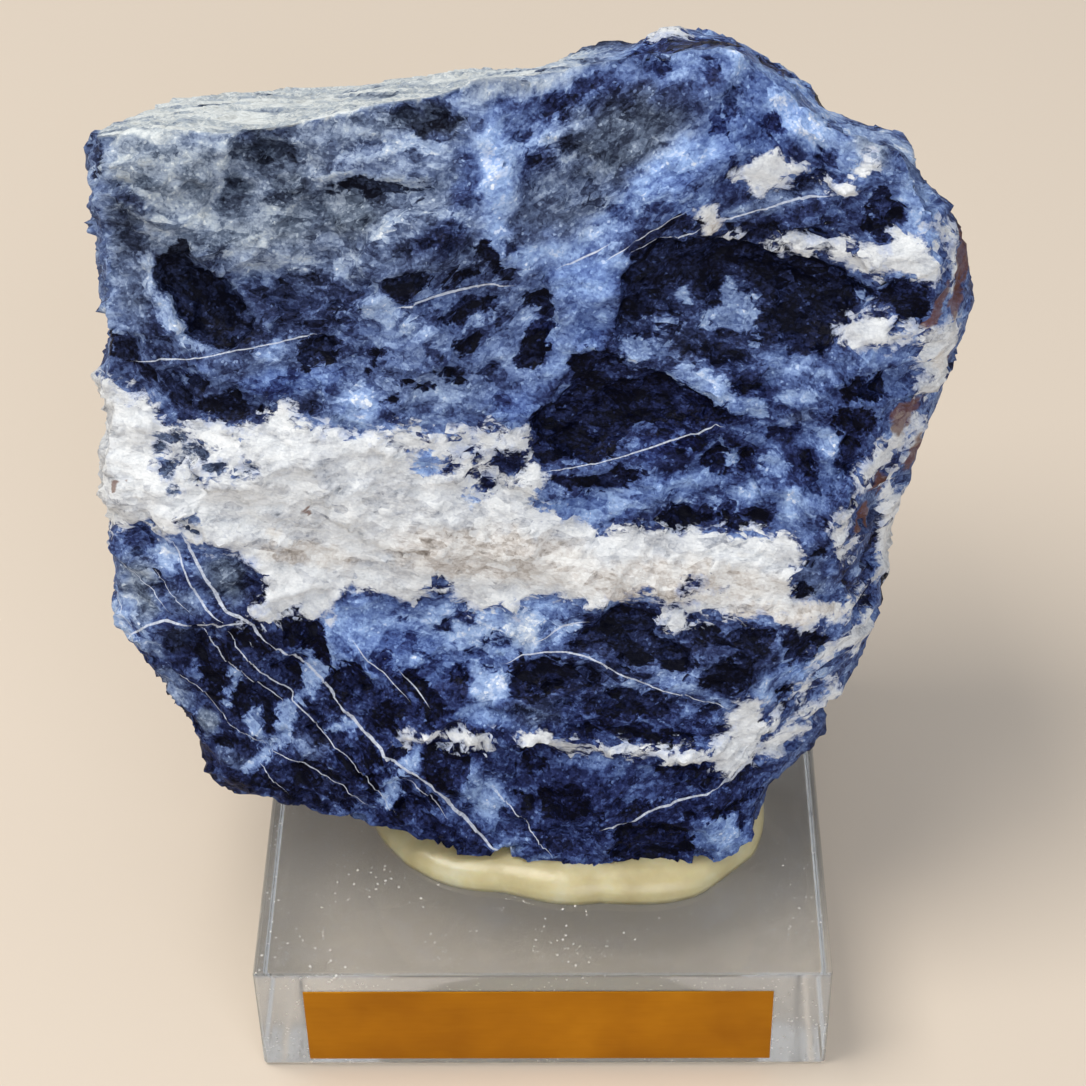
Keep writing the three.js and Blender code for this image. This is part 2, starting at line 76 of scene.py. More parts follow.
# Soft clouds: middle, half lengths, turn in degrees, tone, and how grey and weathered they are, from 0 to 1.
CLOUDS = [
    ((-15.0, 43.4), (15.0, 9.6), 0, 0.38, 0.75),  # greyer upper left
    ((-17.0, 12.0), (11.0, 9.0), -40, 0.17, 0.2),  # dark lower left
    ((-7.0, 8.0), (8.0, 8.0), 0, 0.22, 0.1),
    ((6.0, 7.0), (10.0, 9.0), 0, 0.25, 0.1),
    ((9.0, 16.0), (10.0, 3.6), 0, 0.27, 0.3),
    ((-8.0, 16.8), (9.0, 2.6), 4, 0.50, 0.0),  # blue under the white band
    ((14.0, 30.4), (8.0, 5.6), 0, 0.31, 0.1),
    ((-19.0, 37.4), (10.0, 5.6), 0, 0.33, 0.4),
    ((-7.0, 37.6), (8.0, 5.4), 0, 0.40, 0.3),
    ((12.0, 40.4), (9.0, 5.6), 0, 0.20, 0.3),
    ((-22.2, 47.6), (5.4, 3.4), -6, 0.61, 1.0),  # weathered upper left
    ((-15.6, 47.8), (3.6, 2.6), 0, 0.40, 0.85),
    ((-17.2, 49.2), (2.4, 1.1), 0, 0.32, 0.95),
    ((-18.2, 46.8), (1.3, 0.8), 0, 0.30, 0.95),
    ((-15.0, 47.0), (1.3, 1.1), 0, 0.32, 0.95),
    ((-13.4, 47.6), (0.8, 1.1), 0, 0.54, 0.8),
    ((-19.4, 47.6), (2.8, 0.45), 79, 0.74, 0.9),
    ((-24.8, 46.6), (1.7, 0.5), -35, 0.18, 0.6),
    ((-11.4, 50.6), (4.4, 0.9), 8, 0.54, 0.8),
    ((-21.4, 44.4), (3.2, 1.4), 0, 0.48, 0.9),
    ((-16.4, 44.4), (3.4, 1.7), 10, 0.54, 1.0),
    ((-11.2, 45.6), (2.2, 1.6), 0, 0.38, 1.0),
    ((-16.6, 42.6), (3.0, 1.0), 10, 0.62, 0.8),
    ((-27.2, 42.6), (1.5, 6.0), 0, 0.50, 0.4),
    ((-25.2, 41.6), (1.2, 3.4), 8, 0.44, 0.7),
    ((-25.6, 44.6), (0.9, 2.2), 25, 0.26, 0.8),
    ((-8.8, 48.7), (4.0, 1.1), 4, 0.46, 0.6),
    ((-9.0, 47.5), (4.2, 0.5), -2, 0.62, 0.8),
    ((-6.4, 51.2), (2.9, 0.9), -2, 0.24, 0.9),
    ((-3.8, 48.4), (1.1, 2.6), 0, 0.36, 0.2),
    ((-8.2, 44.2), (2.6, 1.5), 18, 0.40, 0.6),
    ((-5.8, 44.2), (1.9, 1.0), 18, 0.24, 0.3),
    ((-11.4, 42.2), (1.1, 1.0), 0, 0.56, 0.6),
    ((-5.4, 44.6), (1.2, 0.9), 20, 0.28, 0.3),
    ((-2.2, 48.2), (1.2, 3.4), 4, 0.82, 0.0),  # bright crest
    ((-2.6, 44.8), (0.9, 2.0), 0, 0.60, 0.1),
    ((1.4, 50.6), (3.6, 0.8), 32, 0.66, 0.2),
    ((-1.0, 53.4), (4.0, 0.8), 10, 0.72, 0.8),
    ((1.4, 43.4), (3.6, 0.8), 16, 0.72, 0.1),
    ((3.0, 41.6), (2.8, 1.7), 12, 0.60, 0.0),
    ((5.2, 50.2), (4.6, 2.6), 22, 0.37, 0.9),  # dull lens
    ((1.6, 46.2), (3.2, 2.2), 10, 0.40, 0.7),
    ((5.8, 46.6), (3.6, 0.9), 42, 0.62, 0.1),  # blue swath over the pan
    ((8.4, 48.6), (3.2, 1.2), 36, 0.62, 0.0),
    ((9.6, 46.2), (1.6, 0.7), 30, 0.56, 0.0),
    ((11.6, 50.4), (2.2, 1.8), 30, 0.60, 0.0),
    ((14.0, 50.0), (1.6, 1.4), 0, 0.42, 0.0),
    ((14.4, 52.6), (2.2, 1.4), -30, 0.62, 0.0),
    ((16.6, 50.6), (2.2, 1.3), -38, 0.68, 0.0),
    ((18.8, 49.2), (2.4, 0.9), -30, 0.68, 0.2),
    ((20.6, 49.4), (1.4, 1.2), -40, 0.46, 0.8),
    ((9.4, 54.8), (2.6, 0.9), 0, 0.58, 0.1),
    ((8.8, 56.4), (1.4, 0.7), 10, 0.84, 0.3),
    ((12.2, 54.8), (1.4, 1.0), 0, 0.62, 0.1),
    ((14.2, 46.0), (3.4, 0.8), 16, 0.44, 0.5),
    ((23.4, 45.4), (1.1, 2.6), 20, 0.66, 0.1),
    ((0.4, 38.0), (1.0, 1.4), 30, 0.60, 0.1),
    ((1.2, 36.2), (0.9, 1.7), -30, 0.62, 0.1),
    ((3.4, 38.6), (1.7, 1.6), 0, 0.58, 0.0),
    ((-7.4, 37.6), (2.4, 1.4), 0, 0.54, 0.3),
    ((-6.4, 34.6), (3.8, 1.3), 4, 0.50, 0.4),
    ((-1.4, 33.2), (1.7, 0.9), 10, 0.52, 0.0),
    ((-11.2, 33.6), (1.5, 1.1), 0, 0.70, 0.1),
    ((-15.4, 34.9), (3.6, 1.0), 4, 0.40, 0.0),
    ((-16.6, 36.8), (0.8, 0.8), 0, 0.62, 0.1),
    ((-21.0, 35.4), (1.6, 0.5), 0, 0.50, 0.2),
    ((9.0, 37.0), (1.6, 1.2), 0, 0.26, 0.4),
    ((13.0, 37.0), (2.6, 1.2), 0, 0.22, 0.3),
    ((16.2, 35.6), (2.6, 1.1), 0, 0.52, 0.2),
    ((15.8, 33.8), (1.2, 0.6), 0, 0.70, 0.2),
    ((16.2, 32.3), (1.3, 0.6), 0, 0.40, 0.5),
    ((21.2, 36.0), (2.2, 0.7), 0, 0.50, 0.1),
    ((18.4, 30.0), (0.6, 2.0), -6, 0.66, 0.1),
    ((8.0, 27.6), (2.8, 0.9), 6, 0.54, 0.0),
    ((13.2, 27.0), (1.5, 0.5), 16, 0.64, 0.1),
    ((16.0, 26.2), (0.9, 1.6), 0, 0.60, 0.1),
    ((2.4, 26.2), (3.4, 0.8), 0, 0.58, 0.0),
    ((8.4, 30.4), (2.4, 0.6), 8, 0.36, 0.0),
    ((-11.6, 18.8), (2.6, 1.3), 0, 0.62, 0.0),
    ((-7.4, 18.4), (2.4, 1.2), 0, 0.66, 0.1),
    ((-4.6, 17.4), (2.4, 1.6), 0, 0.72, 0.2),
    ((-1.4, 17.6), (1.2, 1.4), 30, 0.86, 0.5),
    ((-3.6, 14.0), (1.2, 1.4), 0, 0.82, 0.2),
    ((-4.4, 11.9), (2.0, 0.6), 0, 0.66, 0.0),
    ((0.2, 19.3), (1.4, 0.7), 0, 0.60, 0.0),
    ((-0.4, 12.4), (1.8, 1.0), 0, 0.30, 0.5),
    ((-14.2, 16.4), (0.6, 1.8), -16, 0.62, 0.1),
    ((-15.4, 9.6), (1.3, 0.8), -30, 0.44, 0.4),
    ((-24.2, 13.8), (1.1, 1.8), 30, 0.44, 0.6),
    ((-20.4, 8.9), (1.4, 0.8), -30, 0.44, 0.5),
    ((-8.4, 9.0), (0.9, 0.7), 40, 0.58, 0.1),
    ((-7.2, 29.8), (1.8, 1.5), 0, 0.64, 0.0),
    ((-10.0, 6.6), (0.6, 1.3), -20, 0.56, 0.1),
    ((-3.9, 5.4), (1.3, 3.2), 16, 0.62, 0.1),
    ((-25.9, 21.0), (1.4, 2.3), 0, 0.46, 0.9),
    ((-23.0, 20.4), (1.4, 1.0), -30, 0.40, 0.5),
    ((-23.8, 23.4), (0.9, 1.0), 0, 0.76, 0.3),
    ((-20.2, 21.9), (1.9, 1.5), -40, 0.46, 0.9),
    ((-27.6, 18.8), (0.9, 1.7), 0, 0.72, 0.3),
    ((-25.6, 16.8), (1.3, 0.8), -40, 0.50, 0.5),
    ((-23.6, 17.6), (1.2, 0.8), 0, 0.24, 0.6),
    ((-24.2, 14.4), (1.2, 1.1), -45, 0.48, 0.5),
    ((-22.0, 11.4), (0.8, 0.9), 0, 0.42, 0.9),
    ((-14.0, 6.6), (1.2, 0.6), -30, 0.30, 0.3),
    ((11.8, 2.6), (2.3, 1.7), 0, 0.62, 0.0),
    ((4.0, 6.4), (1.8, 1.2), -20, 0.34, 0.1),
    ((3.6, 8.2), (3.4, 0.5), -4, 0.54, 0.1),
    ((8.6, 14.4), (1.8, 0.7), 0, 0.58, 0.2),
    ((11.4, 12.7), (1.1, 0.5), -20, 0.66, 0.3),
    ((15.8, 14.6), (1.7, 0.6), 10, 0.58, 0.0),
    ((14.5, 13.9), (0.4, 1.0), 0, 0.70, 0.1),
    ((18.4, 14.4), (1.9, 1.0), 45, 0.74, 0.3),
    ((17.0, 11.4), (0.7, 0.7), 0, 0.44, 0.4),
    ((17.5, 21.2), (0.9, 1.7), 0, 0.44, 0.5),
    ((20.6, 21.4), (0.5, 0.8), 0, 0.50, 0.4),
    ((22.0, 25.0), (1.4, 2.0), 0, 0.40, 0.5),
]

# Bodies of black blue sodalite. Two thin ones are painted shade under two raised lenses.
BLACK_AND_PAINTED_SHADE = [
    [(5.2, 38.3), (5.4, 39.6), (5.8, 41.2), (6.4, 42.5), (7.8, 43.4), (10.1, 43.8), (10.8, 43.2),
     (12.2, 43.4), (14.4, 43.1), (16.4, 42.6), (18.0, 41.8), (19.6, 41.1), (20.8, 40.3), (21.0, 39.7),
     (19.6, 39.0), (18.5, 38.4), (18.2, 37.2), (16.8, 36.6), (15.4, 37.4), (14.9, 38.8), (14.2, 40.6),
     (12.6, 41.4), (10.4, 40.6), (8.6, 41.0), (7.0, 40.2), (6.2, 38.8)],
    [(7.1, 44.4), (8.3, 45.1), (9.3, 45.3), (10.0, 45.1), (10.2, 44.6), (9.4, 44.3), (8.2, 44.2)],
    [(8.4, 37.4), (9.6, 37.3), (9.4, 36.2), (8.6, 36.2)],
    [(10.4, 37.2), (12.2, 37.4), (12.6, 36.4), (11.2, 35.8), (10.4, 36.2)],
    [(11.3, 34.7), (12.6, 34.7), (13.8, 34.6), (13.4, 34.2), (12.0, 34.1)],
    [(-0.2, 32.9), (1.6, 33.7), (2.3, 34.4), (2.3, 35.2), (2.0, 36.2), (2.4, 36.9), (3.2, 37.1), (4.4, 36.3),
     (6.2, 35.7), (8.0, 35.0), (10.0, 34.3), (11.4, 33.5), (12.6, 32.5), (11.0, 32.3), (8.8, 32.1),
     (6.0, 31.7), (4.8, 30.9), (4.2, 30.0), (2.2, 29.6), (0.6, 29.4), (-0.4, 29.9), (-0.1, 31.1)],
    [(7.9, 30.3), (9.4, 30.9), (11.4, 31.3), (12.0, 31.1), (10.4, 30.3), (8.8, 30.0)],
    [(0.9, 28.4), (2.4, 28.5), (3.6, 29.0), (5.4, 29.3), (6.6, 29.0), (6.0, 28.1), (4.6, 27.4), (3.0, 27.1),
     (1.6, 27.9)],
    [(7.2, 25.6), (8.8, 25.9), (10.6, 25.8), (11.1, 25.2), (9.0, 24.7), (7.6, 24.9)],
    [(11.7, 25.5), (13.4, 26.0), (14.8, 25.6), (14.6, 24.9), (12.6, 24.8)],
    [(11.4, 44.6), (13.2, 44.7), (15.0, 44.4), (17.0, 44.4), (18.3, 44.4), (17.4, 43.9), (15.6, 44.0),
     (13.6, 44.2), (12.0, 44.2)],
    [(20.1, 45.9), (21.0, 46.6), (22.3, 45.8), (22.5, 44.4), (21.0, 43.6), (20.0, 44.2)],
    [(21.4, 40.8), (22.6, 41.4), (23.8, 40.8), (24.2, 39.4), (23.4, 38.4), (22.2, 38.6), (21.5, 39.6)],
    [(19.2, 33.9), (20.0, 34.5), (21.6, 34.4), (21.9, 33.6), (20.6, 33.0), (19.4, 33.2)],
    [(18.8, 32.0), (19.4, 32.7), (21.2, 32.6), (21.7, 31.6), (20.6, 30.6), (19.5, 30.2), (18.9, 31.2)],
    [(10.6, 29.7), (11.4, 30.3), (12.0, 29.6), (12.0, 28.6), (11.2, 28.1), (10.7, 28.8)],
    [(12.8, 30.2), (13.9, 29.9), (13.9, 28.9), (13.0, 28.3), (12.9, 29.2)],
    [(16.6, 29.4), (17.4, 29.7), (17.8, 28.8), (17.0, 28.3)],
    [(-23.4, 42.4), (-22.7, 43.7), (-21.3, 43.6), (-21.1, 42.2), (-20.6, 41.2), (-19.6, 40.4), (-18.6, 40.2),
     (-17.6, 39.0), (-18.0, 37.6), (-19.6, 36.9), (-20.6, 37.0), (-21.6, 38.0), (-22.6, 39.8), (-23.4, 41.0)],
    [(-15.1, 36.7), (-14.6, 37.3), (-12.3, 37.6), (-12.5, 36.6), (-13.6, 36.0), (-14.6, 36.3)],
    # painted shadow: the dark line under the raised lens higher up
    [(-13.0, 46.5), (-12.0, 47.5), (-11.0, 47.9), (-9.6, 47.7), (-8.2, 47.4), (-5.8, 47.1), (-5.9, 46.7),
     (-8.6, 46.9), (-11.2, 47.1), (-12.2, 46.7), (-12.8, 46.2)],
    # painted shade along the lower edge of the raised lens left of the middle
    [(-9.4, 41.6), (-8.0, 42.3), (-6.8, 42.3), (-7.2, 41.4), (-8.2, 40.5), (-9.1, 40.7)],
    [(-5.8, 41.3), (-4.8, 42.2), (-3.7, 42.4), (-3.4, 41.5), (-4.3, 41.2)],
    [(-3.9, 44.0), (-3.2, 44.1), (-2.4, 43.1), (-1.4, 41.9), (-1.8, 41.5), (-2.8, 42.4), (-3.6, 43.3)],
    [(-1.0, 40.3), (0.5, 40.6), (0.5, 39.2), (1.2, 38.2), (0.5, 36.9), (0.0, 36.1), (-1.1, 35.4),
     (-1.5, 36.2), (-1.1, 37.6), (-0.3, 38.5), (-0.2, 39.4)],
    [(-6.4, 39.4), (-4.8, 40.1), (-2.9, 40.2), (-2.7, 39.2), (-3.8, 39.2), (-5.2, 39.2)],
    [(-5.4, 37.3), (-4.4, 37.8), (-3.2, 38.2), (-3.6, 37.2), (-4.6, 36.8)],
    [(-5.8, 35.4), (-5.0, 36.0), (-4.2, 35.9), (-4.6, 35.2), (-5.4, 35.0)],
    [(-7.8, 34.9), (-6.6, 35.4), (-6.2, 34.8), (-7.4, 34.4)],
    [(-8.9, 35.3), (-8.4, 35.9), (-7.9, 35.5), (-8.4, 35.2)],
    [(-9.7, 33.9), (-9.1, 34.4), (-8.7, 33.8), (-9.3, 33.5)],
    [(-10.6, 35.6), (-10.5, 36.8), (-9.9, 36.8), (-9.9, 35.8)],
    [(-27.2, 37.8), (-25.6, 37.9), (-24.7, 37.3), (-24.8, 36.5), (-26.4, 36.4), (-27.2, 36.8)],
    [(-24.9, 35.9), (-24.1, 35.7), (-24.2, 34.9), (-24.9, 35.1)],
    [(-21.0, 33.6), (-19.2, 34.1), (-17.5, 33.3), (-17.3, 32.5), (-18.4, 32.3), (-20.0, 32.7), (-21.1, 33.0)],
    [(-22.2, 34.9), (-20.5, 34.9), (-21.2, 34.1), (-21.9, 33.2)],
    [(-16.8, 17.9), (-16.6, 19.0), (-15.2, 19.3), (-14.6, 18.7), (-13.7, 17.2), (-14.4, 15.2), (-15.4, 16.3)],
    [(-20.8, 18.3), (-18.9, 18.5), (-18.2, 18.1), (-17.3, 17.0), (-17.6, 16.3), (-18.4, 16.4), (-19.0, 17.3),
     (-19.8, 17.8)],
    [(-17.6, 15.4), (-16.9, 16.6), (-15.7, 15.5), (-15.2, 14.5), (-15.6, 13.4), (-16.6, 13.9)],
    [(-22.5, 18.2), (-21.3, 17.8), (-20.0, 16.3), (-20.3, 14.6), (-20.9, 13.6), (-21.8, 14.9), (-22.2, 16.3)],
    [(-19.8, 15.6), (-18.3, 14.3), (-17.2, 13.2), (-17.5, 11.4), (-18.1, 10.2), (-18.9, 12.0), (-20.4, 12.4),
     (-20.8, 13.1), (-20.3, 14.3)],
    [(-21.6, 10.6), (-20.3, 11.1), (-19.8, 10.4), (-20.4, 9.8), (-21.6, 9.7)],
    [(-19.4, 7.7), (-18.2, 7.6), (-17.2, 6.2), (-17.6, 5.6), (-19.0, 6.3)],
    [(-16.0, 11.4), (-15.0, 12.2), (-14.0, 11.0), (-13.0, 9.8), (-13.8, 9.2), (-15.2, 9.8)],
    [(-17.2, 8.4), (-15.6, 9.0), (-14.0, 8.0), (-14.8, 6.8), (-16.6, 7.0)],
    [(-14.0, 6.2), (-13.2, 6.3), (-12.4, 5.2), (-12.3, 4.4), (-13.6, 4.9), (-14.2, 5.5)],
    [(-13.8, 8.9), (-12.6, 7.7), (-11.4, 6.6), (-11.0, 6.2), (-10.9, 6.9), (-11.6, 7.9), (-12.8, 9.2)],
    [(-13.0, 9.6), (-11.9, 10.2), (-10.9, 9.4), (-10.3, 8.5), (-11.2, 8.1), (-12.4, 9.0)],
    [(-10.2, 9.9), (-8.9, 9.8), (-8.8, 9.0), (-9.6, 8.7)],
    [(-14.6, 14.3), (-13.6, 15.3), (-12.2, 15.3), (-11.2, 14.5), (-11.7, 13.4), (-12.6, 13.1), (-13.9, 13.2)],
    [(-10.7, 13.4), (-8.8, 13.0), (-8.0, 12.2), (-9.5, 11.9), (-10.7, 12.6)],
    [(-9.3, 15.4), (-8.1, 14.7), (-6.9, 13.6), (-6.4, 12.5), (-6.9, 11.6), (-7.9, 12.6), (-8.6, 13.8)],
    [(-11.9, 11.8), (-10.0, 11.7), (-9.5, 11.1), (-11.3, 11.1)],
    [(-6.1, 15.0), (-5.6, 15.4), (-5.0, 14.4), (-5.6, 14.0)],
    [(-10.0, 7.2), (-8.9, 6.9), (-7.4, 5.6), (-6.8, 4.8), (-8.8, 4.2), (-9.8, 5.0)],
    [(-7.6, 9.1), (-6.9, 9.9), (-5.6, 9.6), (-4.6, 8.8), (-5.1, 7.5), (-5.7, 6.2), (-6.3, 6.2), (-7.3, 7.2),
     (-8.0, 8.0)],
    [(-1.6, 8.6), (-0.4, 8.9), (0.0, 8.0), (-0.7, 7.5), (-1.5, 7.8)],
    [(-0.2, 6.3), (1.4, 6.9), (2.8, 6.1), (2.7, 4.6), (1.4, 4.0), (0.0, 4.2), (-0.6, 5.2)],
    [(-1.7, 5.5), (-1.0, 5.7), (-0.9, 4.6), (-1.5, 4.4)],
    [(-2.2, 14.6), (-1.4, 15.7), (0.0, 16.0), (1.6, 15.9), (3.0, 15.6), (4.0, 14.9), (3.6, 14.0), (1.8, 13.6),
     (0.2, 13.4), (-1.2, 13.2), (-2.2, 13.8)],
    [(2.7, 13.5), (5.0, 13.6), (7.4, 13.7), (8.4, 12.7), (8.1, 12.1), (6.3, 12.2), (4.0, 12.2), (2.7, 12.4)],
    [(3.0, 11.1), (6.3, 11.3), (7.8, 10.6), (9.9, 10.4), (9.8, 10.0), (7.8, 10.0), (5.0, 10.4), (3.2, 10.7)],
    [(1.4, 17.3), (2.6, 17.8), (4.0, 18.6), (5.6, 19.9), (7.1, 19.5), (7.4, 18.2), (7.2, 16.3), (6.4, 15.4),
     (5.0, 16.0), (3.8, 16.4), (2.4, 17.0)],
    [(7.4, 17.6), (8.8, 17.0), (9.9, 15.9), (9.7, 15.2), (8.2, 15.2), (7.6, 16.2)],
    [(9.1, 17.6), (10.3, 17.9), (10.4, 16.9), (9.3, 16.8)],
    [(11.0, 17.9), (13.0, 18.6), (15.3, 18.3), (14.8, 16.6), (13.9, 16.1), (12.2, 16.9)],
    [(10.5, 15.2), (11.6, 15.9), (13.7, 15.8), (13.4, 14.5), (12.4, 13.5), (11.2, 13.6), (10.5, 14.3)],
    [(15.3, 17.7), (16.5, 17.9), (16.5, 17.4), (15.5, 16.5)],
    [(16.3, 17.0), (17.6, 17.5), (18.2, 17.0), (18.1, 16.2), (16.7, 15.5), (16.1, 15.9)],
    [(6.5, 8.1), (8.2, 8.8), (10.0, 8.6), (11.0, 7.5), (11.6, 7.1), (11.0, 6.5), (9.9, 6.8), (8.4, 7.2),
     (7.2, 7.5)],
    [(5.1, 5.9), (7.0, 5.2), (6.6, 4.6), (5.6, 4.4), (4.6, 4.7)],
    [(9.4, 4.7), (10.7, 5.2), (13.1, 5.3), (13.5, 4.6), (12.4, 4.2), (10.4, 4.2)],
    [(5.2, 3.2), (7.6, 3.9), (9.3, 3.2), (9.9, 1.8), (9.0, 0.4), (6.0, 0.4), (4.4, 1.4)],
    [(15.2, 13.2), (16.3, 13.3), (15.9, 12.5), (15.9, 11.5), (15.3, 11.6)],
    [(16.3, 19.8), (16.3, 20.7), (17.3, 20.6), (17.2, 19.7)],
    [(16.8, 22.4), (17.0, 23.4), (18.2, 23.2), (17.8, 22.4)],
]

